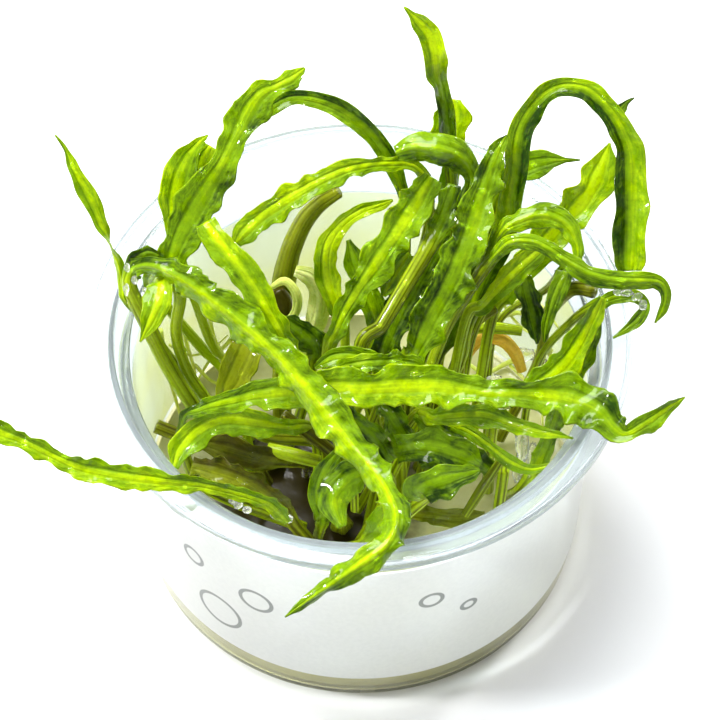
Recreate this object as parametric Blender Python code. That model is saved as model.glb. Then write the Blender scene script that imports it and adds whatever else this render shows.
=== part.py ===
"""A potted aquarium plant: a clear cup with a sleeve, gel and long crinkled leaves.

All lengths below are in millimetres and are turned into metres where a mesh is made.
The origin is the middle of the cup's underside, +Z is up and -Y is the front.
"""
import math

import bmesh
import bpy
from mathutils import Matrix, Vector

MM = 0.001

# Cup
CUP_HEIGHT = 66.0
FLANGE_RADIUS = 54.6
MOUTH_RADIUS = 49.2
WALL_TOP_RADIUS = 47.4
WALL_FOOT_RADIUS = 47.2
WALL = 1.1
SEAT_DEPTH = 4.6
SKIRT_DROP = 2.6
FOOT_ROUND = 1.6
RIM_BEVEL = 0.5
CUP_SEGMENTS = 56

# Sleeve around the cup
SLEEVE_LOW = 9.0
SLEEVE_HIGH = 51.5
SLEEVE_THICK = 0.5
GAP = 0.3

# Gel in the bottom of the cup
GEL_TOP = 9.5
GEL_DIP = 0.6
GEL_DIP_START = 6.0
GEL_SEGMENTS = 40

# The plants' crowns, as (across, back) places on the gel
CROWNS = {
    "left": (-19.0, 5.0),
    "middle": (-3.0, 9.0),
    "front": (-4.0, -12.0),
    "right": (14.0, 3.0),
    "edge": (29.0, 3.0),
}
CROWN_RADIUS = 3.0
CROWN_HEIGHT = 5.0
CROWN_SEGMENTS = 10
CROWN_SHAPE = [(0.8, 0.0), (1.0, 0.4), (0.55, 0.9), (0.0, 1.0)]
BASE_RING = 5.6
BASE_RING_STEP = 2.4
BASE_LIFT = 0.4
BASES_PER_CROWN = 14

# The station from which the leaves' routes are drawn
VIEW_DISTANCE = 500.0
VIEW_PITCH = math.radians(54.69)
MOUTH_ABOVE_AIM = 5.96

# Leaves
BLADE_THICK = 0.9
BLADE_EDGE = 0.45
STALK_ROUNDNESS = 0.85
STALK_EDGE = 0.4
CURVE_STEP = 0.8
RING_STEP = 8.3
BEND_WEIGHT = 3.0

LEAF_GREEN = (0.20, 0.46, 0.015)
LIGHT_GREEN = (0.36, 0.60, 0.02)
DEEP_GREEN = (0.06, 0.22, 0.012)
OLIVE = (0.20, 0.22, 0.02)
AMBER = (0.62, 0.36, 0.04)
PALE = (0.66, 0.72, 0.30)

RIGHT = Vector((1.0, 0.0, 0.0))
TOWARD = Vector((0.0, -math.cos(VIEW_PITCH), math.sin(VIEW_PITCH)))
UP = TOWARD.cross(RIGHT)
AIM = Vector((0.0, 0.0, CUP_HEIGHT)) - MOUTH_ABOVE_AIM * UP
EYE = AIM + VIEW_DISTANCE * TOWARD


def seen(across, up, toward):
    """The point seen at (across, up) on the plane through the mouth, brought nearer by toward."""
    on_plane = AIM + across * RIGHT + up * UP
    return EYE + (on_plane - EYE) * (1.0 - toward / VIEW_DISTANCE)


def at_crown(name, place):
    """The foot of a leaf: one of the places in a ring around a crown, just above the gel."""
    x, y = CROWNS[name]
    angle = 2.0 * math.pi * place / BASES_PER_CROWN
    ring = BASE_RING + BASE_RING_STEP * (place % 2)
    return Vector((x + ring * math.cos(angle), y + ring * math.sin(angle), GEL_TOP + GAP + BASE_LIFT))


def clear_scene():
    for thing in list(bpy.data.objects):
        bpy.data.objects.remove(thing, do_unlink=True)


def material(name, colour, roughness=0.35, alpha=1.0):
    found = bpy.data.materials.get(name)
    if found:
        return found
    made = bpy.data.materials.new(name)
    made.use_nodes = True
    shader = made.node_tree.nodes["Principled BSDF"]
    shader.inputs["Base Color"].default_value = (*colour, 1.0)
    shader.inputs["Roughness"].default_value = roughness
    shader.inputs["Metallic"].default_value = 0.0
    shader.inputs["Alpha"].default_value = alpha
    made.diffuse_color = (*colour, alpha)
    return made


def add_object(name, bm, finish):
    bmesh.ops.recalc_face_normals(bm, faces=bm.faces)
    mesh = bpy.data.meshes.new(name)
    bmesh.ops.scale(bm, vec=(MM, MM, MM), verts=bm.verts)
    bm.to_mesh(mesh)
    bm.free()
    mesh.shade_smooth()
    mesh.set_sharp_from_angle(angle=math.radians(40.0))
    mesh.materials.append(finish)
    made = bpy.data.objects.new(name, mesh)
    bpy.context.collection.objects.link(made)
    return made


def turned(name, profile, segments, finish):
    """A solid turned around Z from a closed list of (radius, height) points."""
    bm = bmesh.new()
    columns = []
    for step in range(segments):
        angle = 2.0 * math.pi * step / segments
        ring = []
        for radius, height in profile:
            if radius < 1e-6:
                ring.append(None)
            else:
                ring.append(bm.verts.new((radius * math.cos(angle), radius * math.sin(angle), height)))
        columns.append(ring)
    poles = {i: bm.verts.new((0.0, 0.0, h)) for i, (r, h) in enumerate(profile) if r < 1e-6}
    count = len(profile)
    for step in range(segments):
        here = columns[step]
        there = columns[(step + 1) % segments]
        for i in range(count):
            j = (i + 1) % count
            corners = [here[i] or poles[i], there[i] or poles[i], there[j] or poles[j], here[j] or poles[j]]
            unique = list(dict.fromkeys(corners))
            if len(unique) > 2:
                bm.faces.new(unique)
    return add_object(name, bm, finish)


def arc(radius, centre, start, stop, steps):
    """Points of an arc in the profile plane, angles in degrees."""
    points = []
    for step in range(steps + 1):
        angle = math.radians(start + (stop - start) * step / steps)
        points.append((centre[0] + radius * math.cos(angle), centre[1] + radius * math.sin(angle)))
    return points


def wall_radius(height):
    """Outer radius of the cup's wall at a height."""
    share = height / (CUP_HEIGHT - SEAT_DEPTH)
    return WALL_FOOT_RADIUS + (WALL_TOP_RADIUS - WALL_FOOT_RADIUS) * share


def build_cup(finish):
    seat = CUP_HEIGHT - SEAT_DEPTH
    profile = [(0.0, 0.0)]
    profile += arc(FOOT_ROUND, (WALL_FOOT_RADIUS - FOOT_ROUND, FOOT_ROUND), -90.0, 0.0, 2)
    profile += [
        (WALL_TOP_RADIUS, seat - WALL),
        (MOUTH_RADIUS + WALL, seat + WALL),
        (MOUTH_RADIUS + WALL, CUP_HEIGHT - WALL),
        (FLANGE_RADIUS - WALL, CUP_HEIGHT - WALL),
        (FLANGE_RADIUS - WALL, CUP_HEIGHT - SKIRT_DROP),
        (FLANGE_RADIUS, CUP_HEIGHT - SKIRT_DROP),
        (FLANGE_RADIUS, CUP_HEIGHT - RIM_BEVEL),
        (FLANGE_RADIUS - RIM_BEVEL, CUP_HEIGHT),
        (MOUTH_RADIUS, CUP_HEIGHT),
        (MOUTH_RADIUS, seat + WALL),
        (WALL_TOP_RADIUS - WALL, seat - WALL),
        (WALL_FOOT_RADIUS - WALL, WALL),
        (0.0, WALL),
    ]
    return turned("cup", profile, CUP_SEGMENTS, finish)


def build_sleeve(finish):
    low = wall_radius(SLEEVE_LOW) + GAP
    high = wall_radius(SLEEVE_HIGH) + GAP
    profile = [
        (low, SLEEVE_LOW),
        (low + SLEEVE_THICK, SLEEVE_LOW),
        (high + SLEEVE_THICK, SLEEVE_HIGH),
        (high, SLEEVE_HIGH),
    ]
    return turned("sleeve_label", profile, CUP_SEGMENTS, finish)


def build_gel(finish):
    floor = WALL + GAP
    radius = WALL_FOOT_RADIUS - WALL - 2.0 * GAP
    profile = [
        (0.0, floor),
        (radius, floor),
        (radius, GEL_TOP),
        (radius - GEL_DIP_START, GEL_TOP - GEL_DIP),
        (0.0, GEL_TOP - GEL_DIP),
    ]
    return turned("gel", profile, GEL_SEGMENTS, finish)


def build_crown(name, place, finish):
    x, y = place
    foot = GEL_TOP + GAP
    profile = [(0.0, foot)]
    for radius, height in CROWN_SHAPE:
        profile.append((CROWN_RADIUS * radius, foot + CROWN_HEIGHT * height))
    crown = turned("crown_" + name, profile, CROWN_SEGMENTS, finish)
    crown.location = (x * MM, y * MM, 0.0)
    return crown


def smooth_route(points, values):
    """A Catmull-Rom curve through points in short steps, with values carried along."""
    route = []
    last = len(points) - 1
    for i in range(last):
        before = points[max(i - 1, 0)]
        start = points[i]
        stop = points[i + 1]
        after = points[min(i + 2, last)]
        pieces = max(1, round((stop - start).length / CURVE_STEP))
        for piece in range(pieces):
            t = piece / pieces
            place = 0.5 * (
                2.0 * start
                + (stop - before) * t
                + (2.0 * before - 5.0 * start + 4.0 * stop - after) * t * t
                + (3.0 * start - before - 3.0 * stop + after) * t * t * t
            )
            ease = t * t * (3.0 - 2.0 * t)
            mixed = [a + (b - a) * ease for a, b in zip(values[i], values[i + 1])]
            route.append((place, mixed))
    route.append((points[last], list(values[last])))
    return route


def ring_places(route):
    """Indices of the stations that get a ring: evenly spaced, and closer together where the route bends."""
    spent = [0.0]
    for index in range(1, len(route)):
        step = route[index][0] - route[index - 1][0]
        bend = 0.0
        if index > 1:
            bend = step.angle(route[index - 1][0] - route[index - 2][0], 0.0)
        spent.append(spent[-1] + step.length + BEND_WEIGHT * bend)
    count = max(3, round(spent[-1] / RING_STEP))
    chosen = []
    for ring in range(count + 1):
        target = spent[-1] * ring / count
        nearest = min(range(len(spent)), key=lambda index: abs(spent[index] - target))
        if nearest not in chosen:
            chosen.append(nearest)
    return chosen


def leaf_section(width, thick, edge, fold):
    """Six points of a leaf's cross-section, as (across, towards the face)."""
    half = width * 0.5
    raised = fold * width
    return [
        (-half, raised + edge * 0.5),
        (0.0, thick * 0.5),
        (half, raised + edge * 0.5),
        (half, raised - edge * 0.5),
        (0.0, -thick * 0.5),
        (-half, raised - edge * 0.5),
    ]


def build_leaf(name, foot, fold, stalk, blade, finish):
    """A leaf or a stalk as one closed ribbon along a smooth route.

    stalk and blade are lists of (across, up, toward, width) or, where the face is
    turned about the route, (across, up, toward, width, degrees).
    """
    points = []
    values = []
    first = (stalk or blade)[0]
    if foot:
        points.append(at_crown(*foot))
        values.append([first[3], first[3] * STALK_ROUNDNESS, first[3] * STALK_EDGE, 0.0, 0.0])
    for station in stalk:
        points.append(seen(*station[:3]))
        values.append([station[3], station[3] * STALK_ROUNDNESS, station[3] * STALK_EDGE, 0.0, 0.0])
    for station in blade:
        turn = station[4] if len(station) > 4 else 0.0
        points.append(seen(*station[:3]))
        values.append([station[3], BLADE_THICK, BLADE_EDGE, fold, turn])
    route = smooth_route(points, values)
    bm = bmesh.new()
    rings = []
    for index in ring_places(route):
        place, (width, thick, edge, bend, turn) = route[index]
        ahead = route[min(index + 1, len(route) - 1)][0]
        behind = route[max(index - 1, 0)][0]
        along = (ahead - behind).normalized()
        face = (TOWARD - TOWARD.dot(along) * along).normalized()
        face = Matrix.Rotation(math.radians(turn), 3, along) @ face
        side = along.cross(face)
        ring = []
        for across, out in leaf_section(width, thick, edge, bend):
            ring.append(bm.verts.new(place + across * side + out * face))
        rings.append(ring)
    for here, there in zip(rings, rings[1:]):
        for i in range(6):
            j = (i + 1) % 6
            bm.faces.new((here[i], here[j], there[j], there[i]))
    bm.faces.new(rings[0])
    bm.faces.new(list(reversed(rings[-1])))
    return add_object(name, bm, finish)


# Leaves in front: the long one that hangs over the rim, and the broad ones across the mouth
FRONT_LEAVES = [
    ("leaf_hanging", ("left", 9), LIGHT_GREEN, -0.2,
     [(-33, -9.6, -20, 3.2), (-38.4, -1, -11, 3.4), (-43, 8, -3, 3.2), (-46, 14.6, 1.4, 3)],
     [(-45.4, 18, 4.4, 3.4), (-41.6, 18.8, 8, 4.6, 10), (-36.4, 16.6, 10.4, 5.8, 20),
      (-30.6, 12.6, 12, 6.8, 26), (-24, 7.4, 13.5, 7.4, 26), (-17.6, 1.8, 15, 6.8, 22),
      (-11.4, -5, 16.4, 7.2, 14), (-6, -11.4, 18.4, 7.2, 6), (-1.4, -17.2, 20.6, 6.6),
      (3.2, -22.8, 25, 5.4), (6.6, -28.6, 30.4, 5.2), (7.2, -33, 34, 5.2), (5.4, -36.8, 36.5, 5.2),
      (2, -39.6, 37, 5), (-3, -43, 35.5, 4.4), (-8, -46.4, 34, 2.8), (-12, -49.2, 33.2, 1.4),
      (-15, -51.4, 33, 0.4)]),
    ("leaf_across", ("front", 7), LIGHT_GREEN, 0.12,
     [(-30, -26, -28, 2.6), (-35.4, -18, -10, 2.4)],
     [(-35.2, -11.6, 0, 1.8), (-31.6, -9.8, 4, 3), (-26, -8.2, 7, 4.6), (-18, -6.6, 9, 6.2),
      (-9, -5.8, 10, 7.2), (0, -5.6, 10, 7.4), (9, -5.2, 10.6, 8.2), (17, -5.2, 11.4, 7.6),
      (25, -6.6, 13, 5.2), (31, -6.6, 14.6, 5), (38, -7, 16.4, 7.6), (43.6, -8.2, 18, 9),
      (48, -10.4, 19.4, 8.4), (51, -13.6, 20.6, 5.4), (53.4, -14.8, 21.2, 3.4), (57, -12.8, 22, 3.6),
      (61, -10, 23, 3), (65, -7.4, 24, 0.4)]),
    ("leaf_across_fold", ("front", 6), LIGHT_GREEN, 0.14,
     [(-9, -15, -12, 2.2)],
     [(-14.6, -13.6, 0, 3.4), (-20.6, -12.6, 2.6, 5.4), (-26.8, -12, 1.4, 6.2), (-32, -14, -0.4, 6),
      (-35.6, -17.8, -1.4, 4.8), (-37.2, -21.6, -1, 2)]),
    ("leaf_over_left_rim", None, LEAF_GREEN, 0.12,
     [],
     [(-14.4, -32.4, 12, 2.4), (-18, -29, 16, 3), (-25, -26.6, 21, 2.6), (-32, -25, 25, 2.8),
      (-40, -24.2, 27, 4), (-48, -23.2, 28, 4.6), (-55.6, -21.6, 28, 4.2), (-61, -19.4, 28, 3.2),
      (-67, -16.4, 28, 3.4), (-72, -14.4, 28, 4), (-77, -12.2, 29, 2.6), (-82, -9.6, 30, 0.4)]),
    ("leaf_steep_left", ("left", 2), LIGHT_GREEN, 0.1,
     [(-11, -6, -14, 2.4)],
     [(-15, 3.4, 6, 4), (-18, 9, 8, 5.6), (-22, 15.4, 9, 6), (-26.2, 21, 9, 5.6),
      (-29.6, 25.4, 8.6, 5), (-31, 27.4, 8, 4)]),
]

# Leaves at the left of the cup
LEFT_LEAVES = [
    ("leaf_far_left", ("left", 7), LEAF_GREEN, 0.16,
     [(-30, -10, -33, 1.8), (-39, 2, -13, 1.8)],
     [(-46.6, 11.4, -2, 1.6, 170), (-47.4, 14.2, -1, 1.8, 170), (-48.2, 18.6, 1, 2.2, 150),
      (-50, 23, 2.4, 2.4, 95), (-52.2, 27.8, 4, 2.9, 25), (-54.2, 32.8, 5.4, 3.7),
      (-57.2, 38.2, 7, 2.4), (-58.9, 42.2, 7.6, 0.9), (-61, 45, 8, 0.4)]),
    ("leaf_tall_left", ("left", 8), LEAF_GREEN, 0.1,
     [(-30, -9, -24, 2.4), (-34.6, -2, -15, 2.4), (-36.8, 5.6, -7, 2.4), (-36, 12.8, 1, 2.6)],
     [(-37.4, 19, 3, 5), (-36, 24.4, 4, 7.4), (-33.4, 29, 5, 8.8), (-31.4, 32.4, 6, 8.4),
      (-29.4, 36, 7, 7), (-27.2, 39.6, 8, 5.8), (-25.4, 43.2, 8.6, 5.2), (-23.6, 46.6, 9, 6.6),
      (-22, 50, 9.4, 7.6), (-19.8, 53, 10, 6), (-16.8, 54.6, 10.6, 3.6), (-14, 55.8, 11, 4.4),
      (-12.2, 57.2, 11.6, 2.4), (-11, 58.4, 12, 0.5)]),
    ("leaf_folded_left", ("left", 6), LEAF_GREEN, 0.2,
     [(-26, -2.4, -28, 2), (-29.6, 3, -13, 2), (-32.6, 11, -4.5, 2)],
     [(-36.6, 22, -4, 2.4), (-37.4, 28.4, -3.4, 4), (-37, 32.4, -3, 6.6), (-36, 36.4, -2.4, 7.4),
      (-34.4, 40, -1.6, 5.6), (-32.4, 43, -0.8, 2.8), (-30.4, 45, 0, 0.4)]),
    ("leaf_bent_down", ("left", 5), LIGHT_GREEN, 0.1,
     [(-26.4, -3.2, -34, 2.4), (-31.6, 2.4, -25, 2.4), (-37.6, 9.4, -12, 2.2)],
     [(-41.8, 14.8, -4, 3), (-41, 16.8, 2.6, 4), (-39.8, 15.4, 6.6, 6), (-40.2, 12, 8, 6.4),
      (-41.6, 8.4, 8.4, 4.2), (-44, 3.6, 8, 0.4)]),
    ("stalk_cut_left", ("left", 10), OLIVE, 0,
     [(-24, -16.8, -22, 2.8), (-34, -15.6, -15, 3), (-40.8, -13.2, -13, 3)],
     []),
    ("leaf_olive_inner", ("front", 5), OLIVE, 0.12,
     [(-7.4, -17.4, -27, 2.4), (-20, -15, -16, 2.4)],
     [(-26.2, -7.4, -8, 5), (-25.2, -3.4, -6.4, 7.4), (-23, 1.6, -6, 7.2), (-20.6, 6.4, -7, 5.8),
      (-19, 10, -8, 3)]),
    ("leaf_brown_inner", ("left", 13), OLIVE, 0.1,
     [(-11, -20.8, -27, 2.2), (-15, -20.4, -17, 2.4)],
     [(-20, -19.6, -13, 5.6), (-26, -18, -10, 6), (-31.6, -16.6, -8, 3)]),
    ("leaf_wet_low", ("front", 9), OLIVE, 0.1,
     [(-13, -33, -16, 3)],
     [(-16.6, -28.4, -4, 4.4), (-22.4, -24.6, 0, 5.2), (-28, -22.4, 0.6, 5.2), (-33.6, -21, 0, 3.6)]),
]

# Leaves at the back and in the middle
MIDDLE_LEAVES = [
    ("leaf_arch_left", ("middle", 5), LEAF_GREEN, 0.2,
     [(7, 12, -22, 2), (9.4, 26, -11, 1.8)],
     [(8.8, 32.2, -8, 2.2), (6.6, 38.4, -5, 3.4), (3.6, 43.6, -2.4, 3.8), (0, 47.4, 0, 3.8),
      (-4.6, 50.4, 2, 3.7), (-9.4, 52, 3.6, 3.5), (-13.6, 52.2, 4.6, 3.2), (-17, 50.8, 5, 3),
      (-19, 49.4, 5, 2.4)]),
    ("leaf_upright", ("middle", 1), LEAF_GREEN, 0.2,
     [(16, 14, -26, 2.2), (18.4, 30, -16, 2.2)],
     [(17.8, 42, -6, 3.2, 20), (17, 47.4, -2, 3.8, 26), (16.3, 52, 1, 4.2, 32),
      (15.7, 55, 2.6, 4.3, 32), (15.1, 57.6, 4, 4.5, 8), (15, 61, 6, 4.9), (14, 64.8, 7.4, 4.6),
      (11.9, 67.4, 8.6, 3.8), (10, 69.4, 9.4, 1.3), (8.8, 70.6, 10, 0.4)]),
    ("leaf_lobe_back", ("middle", 3), LIGHT_GREEN, 0.1,
     [(14, 20, -34, 1.8)],
     [(18, 36, -22, 4), (18, 43, -16, 7.6), (18.2, 48.4, -13, 7.6), (18.6, 52.2, -12, 3.6)]),
    ("leaf_knot", ("right", 5), LEAF_GREEN, -0.2,
     [(14, 6, -12, 2.2), (20, 22, -2, 2.2)],
     [(21.4, 31, 3, 3.4), (22.6, 36.4, 6, 4.4), (20.6, 40, 9, 5.6), (17, 41.8, 11, 6.2),
      (13, 42.4, 11, 6.4), (9.8, 42.4, 10, 5.6), (7.2, 41.4, 9, 3)]),
    ("leaf_wet_across", ("middle", 4), LEAF_GREEN, 0.12,
     [(11, 18, -24, 2), (14, 33, -10, 2)],
     [(11, 38.6, -4, 2.6), (5, 39.2, -1, 3), (-1, 38.4, 1, 3.6), (-6, 36.6, 2, 4.6), (-12, 33.4, 3, 5),
      (-18, 29.8, 3, 5.2), (-22.4, 26, 3, 5.4), (-24.8, 23.4, 3, 2)]),
    ("stalk_olive_back", ("left", 3), OLIVE, 0,
     [(-15.6, 9, -34, 4.2), (-15.2, 15.6, -27, 5.2), (-13.8, 22, -20.6, 4.4), (-11, 28, -15, 4),
      (-7.6, 31.6, -10, 3.4), (-4.4, 33.6, -7, 2.8)],
     []),
    ("sheath_pale", ("middle", 6), PALE, -0.22,
     [(-11.4, 3.6, -34, 3)],
     [(-9.4, 6.6, -30, 4.4), (-8.2, 10, -26, 5), (-8.2, 13.8, -22.4, 4.8), (-10, 16.6, -20.6, 4),
      (-13, 17.8, -20, 2.4)]),
    ("leaf_yellow_tip", ("middle", 10), LIGHT_GREEN, 0.12,
     [(-3, 6, -20, 2)],
     [(-5, 11, -14, 4), (-6.8, 17, -13, 5), (-6.4, 22.8, -12, 4.6), (-3.6, 27, -11, 3.4),
      (0.4, 29.8, -11, 2.8), (4, 31, -11, 2.4), (6.6, 32, -11, 0.5)]),
    ("leaf_between", ("middle", 12), LEAF_GREEN, 0.12,
     [(5, 2, -26, 2)],
     [(3.4, 8, -14, 4.6), (1.4, 14, -11, 5.4), (-0.8, 19.6, -10, 4.4), (-2.4, 24, -10, 1.2)]),
    ("leaf_broad_centre", ("front", 3), LIGHT_GREEN, 0.1,
     [(-6.4, -2, -14, 2.4)],
     [(-4.6, 6, -4, 3.6), (-1, 13, -2, 5.4), (3.8, 20, 0, 7), (7.8, 26, 1.4, 7.4),
      (11.4, 31.6, 3, 7.2), (14.4, 36.6, 4, 4.6)]),
    ("leaf_stiff_centre", ("right", 7), DEEP_GREEN, 0.1,
     [(0, 1, 0, 2.8), (4.4, 7, 1, 3), (8.6, 14, 1, 3.2), (12.8, 21, 0.6, 3.4)],
     [(15.8, 26.6, 0, 4.4), (17.8, 31.4, -0.6, 5), (19, 35, -1, 2.6)]),
    ("leaf_dark_centre", ("middle", 11), DEEP_GREEN, 0.1,
     [(4, -3, -16, 2)],
     [(5, 2.6, -7, 5.4), (7.6, 9, -6.4, 7), (11.4, 15.6, -6.4, 6.6), (15, 22, -6.4, 4.4),
      (17.6, 27, -6.4, 1.6)]),
    ("leaf_ribbed_centre", ("right", 9), LEAF_GREEN, 0.12,
     [(8, -4, -8, 2.8)],
     [(11.2, 1.6, 4, 5), (13.4, 6.6, 5.6, 7.6), (16.4, 12.4, 6.8, 8), (19.4, 18.4, 7.6, 8),
      (22, 25, 8, 7.6), (24.2, 32.4, 8, 6.6), (26.4, 39, 8, 4.8), (28.2, 43, 8, 2.4),
      (29.4, 45, 8, 0.5)]),
    ("leaf_dark_right", ("right", 10), DEEP_GREEN, 0.1,
     [(15, -2, -22, 2)],
     [(18, 5, -16, 4.6), (21, 11.4, -13, 6), (23.8, 18, -11, 6), (26.2, 24, -9, 4.6),
      (27.6, 28.6, -8, 1.4)]),
    ("leaf_dark_fold", ("middle", 9), DEEP_GREEN, 0.14,
     [(-9.6, -2, -20, 2)],
     [(-8.8, 1.6, -14, 4.4), (-10.8, 4.6, -11.4, 6.4), (-13.6, 6.8, -10.6, 5),
      (-15.4, 8.2, -10.6, 1.5)]),
    ("leaf_olive_point", ("front", 4), LEAF_GREEN, 0.14,
     [(4, -8, -8, 1.8)],
     [(4.2, -1.6, 4, 3), (0, 0.4, 5, 4.4), (-5, 0.6, 4.4, 3.8), (-9, -1.6, 4, 1)]),
]

# Leaves at the right of the cup
RIGHT_LEAVES = [
    ("leaf_arch_right", ("right", 4), LEAF_GREEN, 0.26,
     [(19.4, -1, -19.4, 3), (21, 6, -12, 3)],
     [(23.4, 13, -7.4, 4), (26.8, 21, -1.4, 4.8), (29.6, 28, 2, 5), (30.2, 32.4, 2.8, 5),
      (31, 37, 3.6, 4.8), (31.4, 42, 4.8, 4.8), (32.2, 46, 5.6, 4.8), (34.2, 49.8, 6.4, 4.6),
      (37.4, 53, 7, 4.3), (40, 54.3, 7.6, 4.1), (42.6, 54.5, 8, 4), (45.6, 53.7, 8, 4),
      (48.6, 51.2, 8, 4.2), (50.8, 48.4, 7.6, 4.6), (52.4, 45.2, 7, 5.2), (53.6, 42, 6.4, 6),
      (54, 38, 6, 6.2), (54, 33.6, 5.4, 6.4), (54, 28.6, 5, 6.8), (54, 24, 4.6, 7),
      (53.8, 19.8, 4.2, 6.6), (53.8, 17.8, 4, 5)]),
    ("leaf_tip_right", ("middle", 0), LEAF_GREEN, 0.14,
     [(18, 8, -28, 1.8), (24, 24, -16, 1.8)],
     [(29, 35.4, -8, 4), (33.8, 38.8, -6, 5.8), (37, 39.6, -5.6, 4.6), (39.4, 39.9, -5.2, 2.8),
      (41.2, 40, -5, 1.1), (44, 40, -5, 0.4)]),
    ("leaf_crinkled_right", ("edge", 6), LIGHT_GREEN, 0.12,
     [(26, 7, -24, 2.4)],
     [(30, 14, -13, 4.4), (35, 20.6, -8.4, 6.2), (38.4, 25, -7, 7.2), (41, 28, -6.2, 5.4),
      (44, 30.8, -5.6, 8.2), (46, 33.6, -5.2, 6.8), (47.4, 36.4, -4.8, 7.8), (48.8, 39.8, -4.4, 4.8),
      (50, 43.4, -4, 0.6)]),
    ("leaf_curved_right", ("right", 6), DEEP_GREEN, -0.12,
     [(13.6, -2, -16, 2.2), (17.2, 6, -9.6, 2.2), (22.8, 15.4, -1, 2.2)],
     [(28, 25, 7.4, 2.6), (32, 28, 9, 4.4), (37, 29, 9, 5), (41.4, 27, 9, 4.2), (43.6, 22.6, 9, 2.4),
      (43.4, 18.8, 9, 1)]),
    ("leaf_reaching_right", ("right", 8), LEAF_GREEN, -0.12,
     [(13, -5, -12, 2.4), (18, 8, -2, 2.4), (23.6, 16.4, 4.4, 2.4)],
     [(27.4, 21.2, 9.5, 2.6), (30.4, 23.6, 13, 3.2), (34.6, 23.6, 13.6, 3.4), (38, 22, 14, 3.2),
      (41.6, 19.6, 14, 3.2), (46, 17.2, 14, 3.8), (50.6, 16, 13.6, 4), (56, 15.8, 13, 3.4),
      (59.6, 15.6, 12.4, 2.8), (61.2, 13.6, 11.6, 2.6), (60.8, 10.6, 10.8, 2), (59, 7.4, 10, 0.4)]),
    ("leaf_small_right", ("edge", 0), DEEP_GREEN, 0.12,
     [(35, -2, -18, 1.8), (42, 7.4, -3, 1.8)],
     [(49.4, 12, 6, 2.8), (54.4, 12.8, 8, 2.8), (57, 10.8, 8, 2.4), (55.2, 7.6, 8, 2.4),
      (50.6, 4.4, 8, 0.5)]),
    ("leaf_rising_right", ("edge", 10), LIGHT_GREEN, 0.12,
     [(27, -11, -12, 2.6)],
     [(33, -6.6, 1, 4), (37, -4.2, 3, 5.6), (41, -0.6, 4.4, 6.2), (44, 3.6, 6, 5.4),
      (46.4, 8.6, 7.6, 4), (48.4, 12.6, 8.4, 1.6)]),
    ("leaf_behind_right", ("edge", 11), DEEP_GREEN, 0.12,
     [(32.4, -26, -22, 3.4)],
     [(36, -20, -16, 3.8), (39.2, -11, -6, 3.6), (42.6, -3, 2, 4), (45.4, 2, 3, 4.4), (48, 9, 4, 1)]),
    ("leaf_midrib_right", ("right", 11), LIGHT_GREEN, 0.1,
     [(20.6, 6, -5.5, 2.2)],
     [(24.6, 10.8, -2, 3.2), (30, 16.4, 2, 4.6), (34.6, 20.6, 4, 4.4), (37.6, 23, 5, 1)]),
    ("leaf_dark_hanging", ("right", 1), DEEP_GREEN, 0.12,
     [(22, 3, -22, 1.8), (27, 13, -7, 1.8)],
     [(31.8, 17.6, -4, 3), (33.6, 12.4, -4, 4.8), (34.6, 8, -6, 4.2), (35.4, 3.2, -8, 0.6)]),
    ("leaf_dark_pointed", ("edge", 4), DEEP_GREEN, 0.12,
     [(27, 6, -40, 1.6), (37, 14, -19, 1.6)],
     [(41, 17.6, 0, 3.4), (39, 12.6, 2, 3.6), (37.4, 7.4, 1, 2.2), (36.8, 3.6, 0, 0.5)]),
    ("stalk_cut_right", ("edge", 3), OLIVE, 0,
     [(35.8, 0, -38, 2.4), (37, 8, -24, 2.8), (42, 14, -5, 3), (46.8, 13.8, 0, 3)],
     []),
    ("stalk_green_right", ("right", 3), DEEP_GREEN, 0,
     [(16.4, 2.4, -36, 2.2), (22, 6, -30, 2.4), (27, 6.4, -30, 2.6), (32.4, 5.8, -30, 2.2)],
     []),
    ("stalk_amber", ("right", 2), AMBER, 0,
     [(19.6, -3, -36, 2.4), (22, 2.2, -34, 2.8), (25, 4.4, -33.4, 3), (28.4, 4, -33, 3),
      (31, 1.4, -33.4, 2.8), (32.4, -2.2, -35, 2.2)],
     []),
]

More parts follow.
